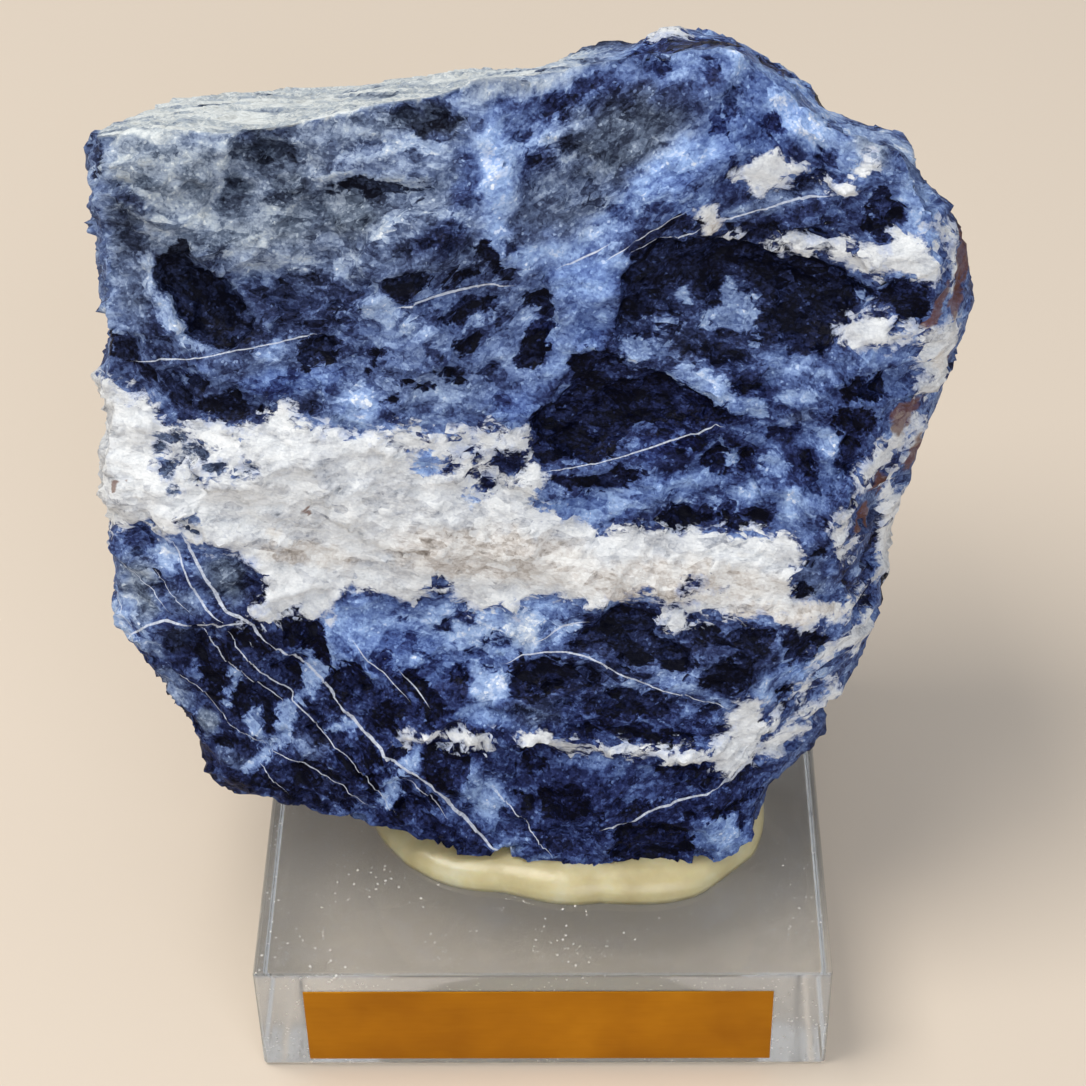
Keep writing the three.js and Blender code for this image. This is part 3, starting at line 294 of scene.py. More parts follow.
# Bodies of navy blue.
NAVY = [
    [(6.0, 37.7), (6.2, 38.8), (7.0, 40.2), (8.6, 41.0), (10.4, 40.6), (12.6, 41.4), (14.2, 40.6),
     (14.9, 38.8), (14.4, 37.0), (12.4, 36.0), (9.6, 36.2), (7.4, 37.2)],
    [(-16.4, 40.6), (-15.0, 41.9), (-13.6, 42.3), (-12.8, 41.6), (-12.2, 40.3), (-12.4, 38.7), (-14.0, 37.9),
     (-16.0, 38.2), (-16.8, 39.2)],
    [(-20.2, 42.6), (-19.9, 43.4), (-19.2, 43.3), (-19.3, 42.6)],
    [(-24.1, 37.7), (-23.0, 37.7), (-22.7, 36.7), (-23.9, 36.5)],
    [(-23.8, 35.6), (-22.5, 35.6), (-22.1, 34.2), (-22.5, 33.0), (-23.2, 33.4), (-24.0, 34.6)],
    [(-25.7, 36.4), (-25.3, 36.3), (-24.9, 34.8), (-24.0, 32.9), (-24.3, 32.8), (-25.2, 34.6)],
    [(-26.3, 33.9), (-25.8, 34.0), (-25.6, 32.5), (-26.1, 32.3)],
    [(-27.6, 49.6), (-26.8, 49.8), (-26.5, 49.0), (-27.0, 48.3), (-27.6, 48.6)],
    [(-23.2, 49.7), (-22.3, 50.0), (-21.9, 49.6), (-22.8, 49.3)],
    [(-16.8, 46.0), (-15.4, 46.8), (-14.4, 46.6), (-15.2, 45.9)],
    [(-17.6, 49.6), (-15.0, 49.9), (-14.6, 49.0), (-16.8, 48.6)],
    [(-9.0, 51.2), (-7.6, 52.0), (-5.6, 52.0), (-4.2, 51.4), (-5.2, 50.6), (-7.6, 50.6)],
    [(-8.6, 43.4), (-6.4, 43.6), (-4.6, 44.9), (-4.9, 45.4), (-6.6, 44.5), (-8.6, 44.1)],
    [(-12.4, 40.4), (-10.8, 41.0), (-10.2, 40.6), (-11.6, 39.8)],
    [(0.4, 52.1), (1.4, 52.7), (2.8, 53.3), (4.1, 53.7), (3.8, 53.0), (2.2, 52.4), (0.8, 51.8)],
    [(1.2, 51.5), (1.9, 52.0), (2.3, 51.4), (1.8, 50.9), (1.2, 51.0)],
    [(1.5, 50.0), (2.3, 50.4), (3.6, 51.2), (3.5, 50.6), (2.3, 49.8), (1.6, 49.6)],
    [(-1.0, 50.1), (-0.5, 50.5), (-0.1, 50.0), (-0.8, 49.7)],
    [(-0.2, 49.2), (0.8, 49.9), (1.5, 49.2), (0.7, 48.8)],
    [(2.6, 52.5), (3.6, 52.9), (4.8, 52.7), (3.6, 52.2)],
    [(4.0, 51.8), (5.2, 52.7), (6.6, 53.4), (6.2, 52.7), (5.0, 51.9), (4.2, 51.4)],
    [(11.3, 53.0), (12.3, 53.3), (12.5, 51.9), (11.7, 51.5)],
    [(10.5, 50.6), (10.9, 51.5), (11.8, 51.2), (11.4, 50.5)],
    [(10.2, 54.6), (10.9, 54.6), (10.8, 53.9), (10.3, 53.9)],
    [(6.2, 54.4), (7.4, 54.9), (8.1, 54.6), (7.0, 54.2)],
    [(13.4, 50.6), (14.2, 51.2), (14.9, 50.6), (14.0, 50.0)],
    [(11.9, 48.8), (12.5, 48.7), (12.4, 48.2), (12.0, 48.1)],
    [(14.7, 46.5), (16.0, 47.3), (17.6, 47.9), (18.7, 47.8), (17.6, 47.1), (16.0, 46.5)],
    [(17.2, 49.1), (18.4, 49.1), (18.3, 48.5), (17.3, 48.6)],
    [(-2.0, 44.0), (-1.0, 43.9), (-1.0, 43.2), (-1.8, 43.2)],
    [(-2.4, 39.3), (-1.6, 39.2), (-1.6, 38.2), (-2.3, 38.2)],
    [(-7.2, 37.6), (-6.3, 37.7), (-6.2, 36.9), (-7.0, 36.8)],
    [(-3.8, 35.9), (-2.6, 36.1), (-2.4, 35.5), (-3.6, 35.4)],
    [(11.8, 31.8), (13.0, 32.2), (12.6, 31.2)],
    [(5.2, 31.8), (8.6, 31.9), (11.2, 32.1), (9.8, 31.3), (7.0, 30.7), (5.2, 30.6)],
    [(14.0, 31.4), (15.6, 31.5), (16.4, 30.8), (15.2, 30.2), (14.2, 30.6)],
    [(19.0, 29.8), (20.2, 30.0), (20.4, 28.6), (19.4, 28.0), (18.9, 28.8)],
    [(-14.9, 13.0), (-13.7, 12.6), (-13.3, 11.9), (-14.6, 11.7)],
    [(-22.6, 14.1), (-21.7, 12.8), (-21.5, 12.4), (-22.4, 12.5), (-22.9, 13.7)],
    [(-23.9, 11.9), (-22.9, 11.2), (-22.4, 10.5), (-23.4, 10.7)],
    [(-24.6, 18.2), (-23.1, 18.4), (-22.5, 17.4), (-23.1, 16.6), (-24.5, 16.9)],
    [(-18.2, 10.4), (-17.3, 10.4), (-17.4, 9.9), (-18.0, 9.9)],
    [(-15.2, 8.7), (-14.2, 8.6), (-14.0, 7.9), (-15.0, 7.9)],
    [(-16.6, 6.5), (-15.0, 6.2), (-14.8, 5.3), (-16.0, 4.9)],
    [(-17.4, 8.4), (-16.2, 8.1), (-15.8, 7.4), (-17.0, 7.2)],
    [(-11.2, 16.2), (-10.1, 16.0), (-9.2, 14.5), (-8.7, 13.5), (-9.6, 13.3), (-10.6, 14.7)],
    [(-8.7, 16.2), (-8.1, 16.0), (-7.5, 15.3), (-7.9, 15.2), (-8.6, 15.8)],
    [(-4.8, 16.1), (-4.0, 16.0), (-3.0, 15.1), (-3.8, 14.9)],
    [(-3.6, 17.2), (-2.8, 17.5), (-2.0, 16.6), (-2.8, 16.4)],
    [(-5.6, 18.8), (-4.6, 18.9), (-4.4, 18.4), (-5.4, 18.3)],
    [(-9.2, 18.6), (-8.0, 18.6), (-7.9, 18.1), (-9.0, 18.0)],
    [(-6.9, 17.9), (-6.1, 17.9), (-6.0, 17.2), (-6.8, 17.3)],
    [(-25.0, 22.4), (-24.1, 22.4), (-24.0, 21.4), (-24.7, 21.2)],
    [(-26.2, 25.2), (-25.2, 25.3), (-25.0, 23.9), (-25.4, 23.0), (-26.2, 23.8)],
    [(-20.0, 23.7), (-18.8, 22.9), (-17.5, 21.6), (-17.1, 20.9), (-17.9, 20.4), (-18.8, 20.6), (-19.6, 22.2)],
    [(-3.2, 4.2), (-1.6, 4.0), (-0.8, 3.0), (-1.8, 2.4), (-3.0, 3.0)],
    [(0.8, 3.8), (3.4, 4.2), (4.2, 2.8), (2.8, 1.4), (0.8, 1.6), (-0.2, 2.8)],
    [(-6.2, 3.4), (-5.2, 2.6), (-4.8, 1.4), (-6.0, 1.6)],
    [(2.2, 19.8), (4.0, 19.4), (4.6, 18.6), (2.9, 18.3)],
    [(8.3, 13.5), (9.8, 13.1), (11.6, 12.6), (11.4, 12.1), (9.6, 12.5)],
    [(10.3, 11.2), (11.7, 11.2), (12.2, 10.6), (11.6, 10.1), (10.7, 10.4)],
    [(-2.0, 12.8), (-0.6, 12.9), (-0.6, 12.0), (-1.6, 12.0)],
    [(0.6, 12.6), (2.2, 12.9), (2.2, 12.2), (0.8, 12.0)],
    [(13.3, 7.7), (15.0, 7.6), (15.0, 6.0), (13.9, 5.4), (13.3, 6.3)],
    [(13.3, 4.3), (14.0, 4.2), (14.0, 3.0), (13.4, 3.0)],
    [(19.4, 22.5), (20.2, 23.2), (20.2, 22.2), (20.0, 21.0), (20.2, 20.0), (20.8, 20.2), (21.4, 21.2),
     (21.2, 22.6), (21.8, 22.2), (21.9, 20.4), (20.9, 19.2), (20.0, 19.3), (19.6, 20.8)],
    [(22.0, 23.2), (22.6, 23.3), (22.9, 21.4), (22.5, 20.4), (22.0, 21.6)],
    [(20.7, 18.1), (21.6, 18.9), (22.6, 18.8), (22.3, 17.8), (21.2, 17.5)],
    [(17.8, 13.2), (18.4, 14.4), (19.6, 15.0), (20.0, 14.6), (18.9, 14.0), (18.5, 12.9), (18.9, 12.3),
     (18.2, 12.1)],
    [(21.9, 24.6), (22.7, 24.6), (22.8, 23.4), (22.2, 23.4)],
    [(18.9, 26.2), (19.6, 27.2), (19.9, 26.8), (19.4, 25.9)],
]

# Pale blue and cream flecks, ridges and smears. Two of them are painted highlights: the lit upper rims of two
# raised lenses.
PALE_AND_PAINTED_HIGHLIGHTS = [
    [(-24.4, 43.2), (-23.7, 43.0), (-23.4, 41.0), (-22.7, 39.4), (-21.7, 37.8), (-20.6, 36.8), (-21.3, 36.6),
     (-22.5, 38.0), (-23.4, 39.2), (-24.3, 41.0)],
    [(-23.1, 45.3), (-22.5, 45.3), (-22.5, 44.6), (-23.0, 44.6)],
    [(-16.4, 42.9), (-14.6, 43.0), (-14.4, 42.2), (-15.8, 41.9)],
    [(-11.0, 39.2), (-10.3, 40.2), (-9.6, 41.1), (-9.0, 40.5), (-8.2, 39.9), (-9.0, 39.4), (-10.0, 38.9)],
    [(-8.9, 38.6), (-8.2, 39.3), (-7.4, 39.0), (-7.8, 38.2), (-8.8, 38.0)],
    # painted highlight: the lit upper rim of the raised lens left of the middle
    [(-9.9, 44.6), (-9.2, 45.6), (-8.2, 46.3), (-6.9, 46.9), (-5.8, 46.5), (-4.6, 45.9), (-3.8, 45.9),
     (-4.6, 45.3), (-5.8, 45.7), (-6.9, 46.0), (-8.0, 45.6), (-9.0, 44.8), (-9.4, 44.2)],
    # painted highlight: the lit upper rim of the raised lens above it
    [(-13.0, 47.8), (-12.0, 49.0), (-9.6, 49.9), (-6.4, 50.1), (-4.5, 49.1), (-4.8, 48.9), (-6.6, 49.6),
     (-9.4, 49.4), (-11.8, 48.5), (-12.7, 47.6)],
    [(-12.5, 42.0), (-11.7, 43.1), (-10.8, 43.4), (-10.4, 42.9), (-11.6, 42.5), (-12.2, 41.7)],
    [(-2.9, 50.4), (-1.8, 51.0), (-1.4, 49.7), (-0.9, 48.8), (-1.7, 48.0), (-1.8, 46.6), (-2.4, 45.7),
     (-2.9, 46.6), (-2.9, 48.2)],
    [(-4.4, 38.8), (-3.6, 39.2), (-3.0, 39.0), (-3.6, 38.6)],
    [(-1.0, 39.3), (-0.4, 39.4), (-0.2, 38.8), (-0.8, 38.5)],
    [(1.5, 49.2), (2.1, 49.3), (2.1, 48.7), (1.6, 48.7)],
    [(3.9, 47.0), (5.0, 47.2), (4.9, 46.5), (4.0, 46.3)],
    [(8.2, 47.1), (9.0, 47.5), (9.4, 47.2), (8.8, 46.4), (8.2, 46.4)],
    [(16.3, 51.2), (17.0, 51.5), (17.4, 50.7), (16.6, 50.3)],
    [(17.0, 49.6), (18.0, 49.7), (18.0, 49.3), (17.2, 49.2)],
    [(8.4, 56.6), (9.6, 57.0), (9.8, 56.4), (8.8, 56.1)],
    [(5.0, 36.8), (5.4, 37.5), (6.6, 37.6), (7.2, 37.0), (6.8, 36.4), (5.8, 36.1)],
    [(7.4, 38.6), (7.8, 38.7), (7.8, 37.4), (7.4, 37.4)],
    [(10.1, 38.5), (10.5, 39.0), (11.3, 39.2), (11.7, 40.0), (12.3, 40.6), (12.8, 40.1), (13.8, 39.8),
     (14.1, 39.2), (13.5, 38.6), (12.4, 38.4), (11.4, 38.4), (10.7, 38.2)],
    [(8.9, 40.1), (9.4, 40.2), (9.6, 39.9), (9.0, 39.8)],
    [(8.6, 38.4), (9.1, 38.4), (9.1, 38.0), (8.6, 38.0)],
    [(13.4, 37.7), (13.9, 37.8), (14.0, 37.2), (13.5, 37.1)],
    [(19.6, 40.0), (20.2, 39.9), (20.4, 39.2), (19.8, 39.1)],
    [(7.8, 35.5), (8.8, 35.9), (10.5, 35.6), (11.6, 34.5), (12.6, 33.5), (13.0, 32.8), (12.0, 33.3),
     (10.8, 34.2), (9.2, 34.8), (8.2, 35.0)],
    [(13.1, 33.4), (13.7, 33.5), (14.1, 32.8), (13.8, 31.9), (13.2, 32.2)],
    [(14.8, 33.9), (15.6, 34.2), (15.8, 33.8), (15.2, 33.4)],
    [(16.2, 34.2), (16.8, 34.3), (17.0, 33.8), (16.4, 33.7)],
    [(14.3, 29.4), (15.1, 29.8), (15.5, 29.0), (14.7, 28.4)],
    [(12.1, 29.4), (12.6, 29.5), (12.7, 29.0), (12.2, 28.8)],
    [(9.0, 26.6), (9.8, 26.6), (9.9, 26.2), (9.1, 26.2)],
    [(10.8, 26.0), (11.5, 26.6), (12.1, 26.2), (11.5, 25.8)],
    [(18.0, 31.5), (18.7, 31.2), (18.7, 29.6), (18.3, 29.6), (18.2, 30.8)],
    [(-11.7, 35.0), (-11.1, 35.0), (-11.0, 34.5), (-11.6, 34.4)],
    [(-10.8, 33.9), (-10.3, 33.9), (-10.2, 33.2), (-10.8, 33.2)],
    [(-17.2, 37.2), (-16.3, 37.3), (-16.2, 36.4), (-17.0, 36.2)],
    [(-5.7, 17.9), (-4.8, 18.0), (-4.7, 16.6), (-5.4, 16.5)],
    [(-1.8, 19.2), (-0.6, 18.8), (0.0, 17.6), (-0.6, 16.8), (-1.8, 16.6), (-2.4, 17.8)],
    [(-4.4, 14.8), (-3.2, 14.9), (-2.5, 13.8), (-3.2, 12.9), (-4.4, 13.4)],
    [(-8.8, 15.6), (-8.2, 15.7), (-7.8, 15.1), (-8.4, 15.1)],
    [(5.1, 14.9), (6.0, 14.9), (6.8, 13.9), (6.0, 13.5), (5.3, 14.1)],
    [(-14.1, 10.8), (-13.2, 11.3), (-12.4, 10.9), (-12.5, 10.4), (-13.6, 10.3)],
    [(-15.3, 15.2), (-16.4, 13.2), (-17.1, 12.2), (-17.4, 10.7), (-18.5, 9.4), (-19.8, 8.2), (-19.4, 7.6),
     (-17.9, 8.8), (-16.6, 10.3), (-16.3, 11.9), (-15.6, 12.8), (-14.5, 14.9)],
    [(-8.6, 9.0), (-9.4, 8.0), (-10.2, 6.4), (-11.2, 4.8), (-10.6, 4.7), (-9.5, 6.2), (-8.7, 7.8),
     (-8.2, 8.6)],
    [(-28.3, 21.2), (-27.4, 19.9), (-26.4, 18.6), (-25.6, 17.2), (-25.2, 17.4), (-26.2, 19.0), (-27.2, 20.4),
     (-28.1, 21.6)],
    [(-28.2, 18.6), (-27.2, 18.7), (-26.4, 17.6), (-27.6, 17.4)],
    [(-20.2, 15.5), (-19.9, 15.3), (-20.4, 13.9), (-20.9, 12.9), (-21.2, 13.0), (-20.7, 14.0)],
    [(-19.0, 12.6), (-18.5, 12.5), (-18.6, 11.2), (-18.3, 10.2), (-18.9, 10.2), (-19.2, 11.4)],
    [(-15.2, 12.6), (-14.7, 13.4), (-14.4, 14.6), (-14.9, 14.4), (-15.6, 13.2)],
    [(-4.4, 24.0), (-3.4, 24.2), (-3.4, 23.4)],
    [(0.6, 17.6), (1.6, 18.2), (2.6, 18.3), (2.4, 18.0), (1.4, 17.7), (0.8, 17.3)],
]

# The white band and the white patches, of coarse granular feldspar.
WHITE = [
    [(-29.4, 34.8), (-27.2, 35.0), (-26.4, 34.2), (-25.8, 34.4), (-25.0, 33.2), (-24.4, 34.0), (-23.8, 32.6),
     (-22.8, 32.0), (-21.6, 32.3), (-20.0, 32.1), (-18.2, 31.9), (-17.2, 32.3), (-16.7, 33.4), (-16.0, 33.5),
     (-15.4, 33.0), (-14.8, 32.2), (-13.6, 31.6), (-12.6, 32.2), (-11.6, 31.8), (-10.8, 32.4), (-9.6, 31.6),
     (-8.6, 32.4), (-7.8, 32.5), (-7.0, 32.0), (-5.4, 31.8), (-4.2, 31.6), (-3.2, 32.1), (-2.2, 31.8),
     (-1.0, 31.9), (-0.4, 31.2), (-0.8, 30.4), (-0.2, 29.5), (0.2, 28.4), (-0.8, 27.2), (0.0, 26.4),
     (1.6, 25.5), (3.4, 24.9), (5.2, 25.1), (6.4, 25.2), (7.4, 24.9), (8.4, 24.5), (12.0, 24.5), (15.0, 24.6),
     (16.4, 24.1), (16.9, 23.0), (16.3, 21.2), (16.0, 20.2), (17.0, 19.4), (18.4, 19.4), (20.2, 19.0),
     (21.6, 19.4), (23.0, 20.2), (23.2, 19.4), (21.8, 18.9), (20.4, 18.2), (18.4, 17.9), (17.0, 18.0),
     (15.4, 18.7), (13.4, 18.7), (11.6, 18.9), (9.9, 18.7), (9.5, 17.9), (8.4, 18.0), (7.8, 18.8),
     (8.4, 19.4), (6.8, 20.3), (5.3, 20.1), (3.3, 19.8), (1.2, 19.9), (-0.2, 20.1), (-1.2, 19.9),
     (-1.8, 18.9), (-2.8, 19.1), (-4.8, 19.1), (-6.0, 19.4), (-5.6, 20.0), (-5.8, 21.0), (-7.0, 20.6),
     (-7.6, 19.8), (-9.3, 19.9), (-10.2, 20.5), (-11.6, 20.8), (-12.4, 21.1), (-13.2, 20.0), (-13.5, 18.6),
     (-14.3, 19.1), (-15.6, 19.3), (-17.4, 18.9), (-19.4, 19.1), (-18.8, 19.8), (-17.6, 20.8), (-17.4, 22.0),
     (-18.8, 23.4), (-20.4, 24.2), (-22.0, 24.2), (-23.0, 25.0), (-24.4, 24.4), (-25.2, 25.6), (-26.4, 25.2),
     (-27.4, 24.6), (-29.6, 22.6)],
    [(-9.6, 10.4), (-8.8, 10.9), (-7.4, 10.7), (-6.2, 10.6), (-5.5, 11.0), (-3.3, 10.8), (-3.2, 10.0),
     (-4.0, 8.9), (-5.0, 9.7), (-6.2, 10.1), (-7.4, 10.1), (-9.0, 9.8)],
    [(-1.7, 10.5), (-0.4, 11.0), (0.6, 10.4), (2.6, 9.8), (5.2, 9.9), (8.0, 9.8), (10.2, 9.9), (11.0, 9.6),
     (12.1, 10.2), (12.4, 11.4), (12.3, 12.2), (13.2, 12.8), (14.4, 13.0), (14.3, 11.6), (14.9, 11.2),
     (15.3, 12.6), (15.4, 10.6), (14.6, 9.4), (14.2, 8.2), (13.2, 7.6), (12.2, 7.2), (11.2, 7.7), (10.4, 8.7),
     (8.0, 9.1), (5.2, 9.2), (3.3, 9.0), (2.0, 8.8), (1.0, 9.2), (-0.4, 9.5), (-1.4, 9.7)],
    [(18.2, 16.0), (19.3, 16.6), (20.4, 17.3), (22.2, 17.4), (23.2, 16.6), (22.4, 15.4), (21.0, 14.6),
     (20.2, 15.2), (19.0, 15.2), (18.0, 14.6), (17.2, 15.0)],
    [(16.3, 12.6), (16.8, 13.6), (17.8, 14.0), (17.6, 13.0), (17.6, 12.0), (18.0, 11.2), (18.8, 11.6),
     (19.2, 12.8), (19.8, 13.0), (20.0, 12.0), (18.4, 10.2), (17.2, 10.6), (17.2, 12.2)],
    [(14.4, 9.0), (15.6, 9.8), (17.2, 10.4), (18.6, 10.2), (17.4, 9.2), (15.4, 8.4)],
    [(12.4, 48.1), (13.2, 48.7), (13.8, 48.8), (14.2, 49.2), (14.9, 48.9), (15.2, 48.3), (16.2, 48.5),
     (16.6, 48.2), (15.4, 47.6), (14.9, 46.9), (14.2, 46.5), (13.2, 46.7), (12.6, 47.2)],
    [(17.2, 46.9), (18.2, 47.4), (18.8, 47.9), (18.9, 48.5), (19.8, 48.7), (20.7, 48.7), (20.9, 48.1),
     (20.0, 47.5), (19.4, 46.8), (18.6, 46.3), (17.8, 46.5)],
    [(9.9, 45.8), (10.8, 45.8), (11.2, 44.8), (11.6, 43.9), (11.4, 43.4), (10.6, 43.8), (10.4, 44.9)],
    [(11.6, 43.6), (13.4, 43.5), (14.6, 43.7), (16.7, 43.7), (17.4, 44.2), (18.6, 43.7), (20.0, 43.1),
     (21.4, 43.2), (22.4, 44.0), (23.2, 43.7), (23.8, 44.1), (24.3, 42.6), (24.9, 41.0), (24.3, 40.6),
     (23.4, 41.5), (22.2, 41.6), (21.0, 41.6), (19.6, 41.8), (17.9, 42.8), (16.0, 43.0), (13.6, 43.2)],
    [(18.6, 38.3), (19.4, 38.4), (20.0, 38.6), (20.6, 39.1), (21.4, 38.7), (22.0, 38.0), (23.4, 37.6),
     (23.5, 36.9), (21.0, 36.8), (18.6, 37.1)],
    [(23.8, 37.4), (25.2, 37.9), (26.4, 38.0), (26.9, 36.0), (26.3, 34.0), (25.4, 32.6), (24.6, 32.2),
     (24.0, 33.4), (24.4, 34.8), (23.8, 36.0)],
    [(20.2, 27.3), (20.5, 28.7), (21.4, 29.8), (22.0, 30.5), (22.8, 31.6), (23.4, 31.2), (22.9, 29.4),
     (22.5, 28.5), (21.6, 27.9), (20.9, 27.3)],
    [(23.5, 28.9), (23.9, 30.6), (24.9, 31.7), (26.0, 31.6), (25.4, 29.2), (24.4, 28.0)],
    [(18.7, 25.3), (19.6, 26.8), (20.1, 26.3), (19.7, 25.0), (19.6, 23.4), (19.3, 22.5), (18.8, 22.7),
     (18.7, 24.0)],
    [(19.2, 22.2), (19.9, 22.7), (20.5, 24.0), (20.6, 22.9), (19.9, 21.7)],
    [(22.2, 26.5), (22.5, 28.5), (23.4, 28.0), (23.2, 25.6), (23.4, 24.0), (22.8, 23.2), (22.2, 24.8)],
    [(24.6, 44.2), (25.8, 43.4), (26.5, 41.8), (26.0, 40.2), (25.8, 41.6), (25.2, 42.8)],
]

# Places where the white band is thin, so that blue shows through.
THIN_WHITE = [
    [(-9.0, 30.9), (-7.8, 31.4), (-6.8, 31.0), (-5.8, 30.1), (-5.7, 28.9), (-6.8, 28.2), (-8.2, 28.4),
     (-8.4, 29.6)],
    [(-5.0, 27.5), (-4.3, 28.0), (-3.6, 27.2), (-4.2, 26.4), (-5.0, 26.6)],
    [(-0.6, 27.0), (0.8, 27.4), (1.0, 26.6), (-0.2, 26.4)],
    [(-2.6, 32.2), (-0.4, 31.4), (-0.6, 29.8), (-1.8, 30.4), (-3.4, 31.4)],
    [(1.6, 25.6), (5.2, 25.4), (7.6, 25.2), (7.4, 24.3), (3.6, 24.4), (1.6, 24.9)],
    [(-13.6, 32.6), (-10.4, 32.6), (-6.0, 32.4), (-6.0, 31.4), (-10.0, 31.2), (-13.4, 31.0)],
]

# Dark bodies that lie inside the white band.
IN_WHITE = [
    [(-5.9, 30.6), (-5.3, 30.6), (-5.2, 30.0), (-5.8, 30.0)],
    [(-6.0, 29.4), (-5.2, 29.5), (-5.3, 29.0), (-5.9, 29.0)],
    [(-4.9, 30.0), (-4.2, 30.9), (-3.3, 30.0), (-4.0, 29.6)],
    [(-3.0, 28.9), (-3.2, 30.1), (-1.8, 31.1), (-1.4, 30.6), (-0.8, 30.5), (-0.8, 29.2), (-1.5, 28.4),
     (-2.0, 28.9), (-2.5, 28.7)],
    [(-4.1, 29.3), (-3.2, 28.9), (-3.2, 27.5), (-4.0, 27.5)],
    [(-24.2, 31.4), (-23.6, 31.7), (-23.1, 30.8), (-23.6, 30.3), (-24.2, 30.6)],
    [(-23.1, 31.5), (-22.6, 31.5), (-21.6, 30.9), (-20.6, 30.5), (-19.9, 29.7), (-20.2, 29.0), (-21.0, 29.7),
     (-22.2, 30.1), (-22.8, 30.7)],
    [(-23.9, 29.4), (-23.1, 29.5), (-22.7, 28.3), (-23.3, 28.0)],
    [(-22.3, 30.0), (-21.9, 29.9), (-21.3, 29.0), (-21.8, 29.0)],
    [(-19.2, 29.9), (-18.2, 29.9), (-17.9, 29.5), (-18.8, 29.2)],
    [(-22.7, 26.1), (-22.0, 26.0), (-21.8, 25.3), (-22.5, 25.1)],
    [(-7.0, 21.0), (-6.1, 21.1), (-5.9, 20.4), (-6.8, 20.3)],
    [(9.0, 21.1), (9.6, 21.5), (10.7, 21.6), (10.5, 20.7), (9.4, 20.6)],
    [(11.3, 20.9), (12.0, 20.9), (12.1, 20.2), (11.5, 20.1)],
    [(8.4, 19.6), (9.4, 19.8), (10.2, 19.5), (9.6, 19.1), (8.6, 19.1)],
]

# Rust brown stains: middle, half lengths and turn.
RUST = [
    ((26.8, 40.6), (0.7, 3.4), -10),
    ((24.9, 38.8), (0.5, 1.9), -24),
    ((23.2, 31.8), (0.9, 1.7), -24),
    ((26.6, 33.6), (0.8, 2.8), -24),
    ((21.6, 27.2), (0.5, 1.3), -14),
    ((20.8, 24.9), (0.45, 1.2), -12),
    ((24.0, 28.4), (0.5, 1.8), -10),
    ((-14.8, 26.2), (0.3, 0.2), 0),
    ((-26.6, 28.1), (0.3, 0.3), 0),
]

# Warm beige reaches of the white bodies: middle, half lengths and turn.
WARM = [
    ((-3.0, 23.2), (9.0, 2.4), -8),
    ((9.0, 21.2), (9.0, 2.2), -2),
    ((-14.6, 23.2), (4.0, 1.1), -8),
    ((-16.9, 25.1), (0.8, 0.8), 0),
    ((16.0, 18.9), (5.6, 1.0), 0),
    ((11.0, 44.4), (1.2, 1.4), 0),
    ((25.2, 35.4), (0.7, 1.2), -20),
    ((-5.2, 17.2), (0.8, 1.0), 0),
    ((-1.4, 17.8), (1.2, 1.4), 30),
]

# Lenses and hollows left by the break: an outline, and how far the face is raised or sunk inside it, in mm.
LEDGES = [
    ([(-12.0, 41.4), (-10.8, 42.9), (-9.9, 44.5), (-8.0, 46.1), (-6.6, 46.4), (-4.5, 45.5), (-4.0, 44.3),
      (-5.0, 43.0), (-7.0, 42.3), (-9.4, 41.6)], 0.5),
    ([(-13.0, 47.6), (-12.0, 48.8), (-9.6, 49.7), (-6.4, 49.9), (-4.6, 49.0), (-6.0, 47.3),
      (-9.0, 47.6)], 0.4),
    ([(-9.6, 50.6), (-8.0, 52.0), (-5.4, 52.2), (-3.8, 51.3), (-5.6, 50.3), (-8.0, 50.2)], -0.4),
    ([(-27.0, 48.6), (-24.0, 49.6), (-20.2, 49.8), (-19.4, 47.4), (-20.4, 44.6), (-22.6, 44.6),
      (-25.2, 46.0)], 0.4),
    ([(-18.6, 44.2), (-15.0, 45.6), (-12.4, 45.2), (-12.8, 43.2), (-15.4, 42.2), (-18.4, 42.4)], 0.4),
    ([(-18.8, 49.4), (-14.2, 49.9), (-13.2, 48.2), (-15.6, 46.4), (-18.6, 46.8)], -0.35),
    ([(3.6, 50.2), (5.2, 51.8), (7.2, 51.7), (7.7, 50.2), (6.8, 48.4), (4.8, 48.4)], -0.35),
    ([(-1.4, 44.6), (0.2, 48.2), (3.6, 47.8), (4.8, 46.0), (2.6, 44.4)], -0.3),
    ([(5.0, 37.4), (5.4, 41.2), (7.6, 43.6), (12.0, 43.6), (18.0, 42.0), (21.0, 39.8), (18.4, 37.0),
      (13.6, 35.6), (8.8, 36.0)], -0.6),
    ([(-0.4, 31.4), (1.8, 35.6), (3.2, 37.2), (8.0, 35.2), (12.6, 32.5), (6.4, 31.8), (2.2, 29.6)], -0.45),
    ([(-23.6, 42.6), (-21.2, 43.8), (-18.8, 40.4), (-17.4, 38.8), (-19.2, 36.8), (-21.8, 37.8)], -0.6),
    ([(-21.6, 23.4), (-19.4, 23.8), (-17.2, 21.0), (-18.4, 19.8), (-20.6, 20.6)], -0.3),
    ([(-26.6, 22.4), (-24.6, 22.2), (-23.4, 20.2), (-25.0, 18.8), (-26.8, 19.6)], -0.3),
    ([(-2.2, 14.6), (0.0, 16.1), (3.0, 15.7), (4.1, 14.9), (3.6, 13.9), (-1.2, 13.1)], -0.35),
    ([(1.4, 17.2), (5.6, 20.0), (7.4, 18.6), (9.9, 15.8), (6.4, 15.3)], -0.35),
]

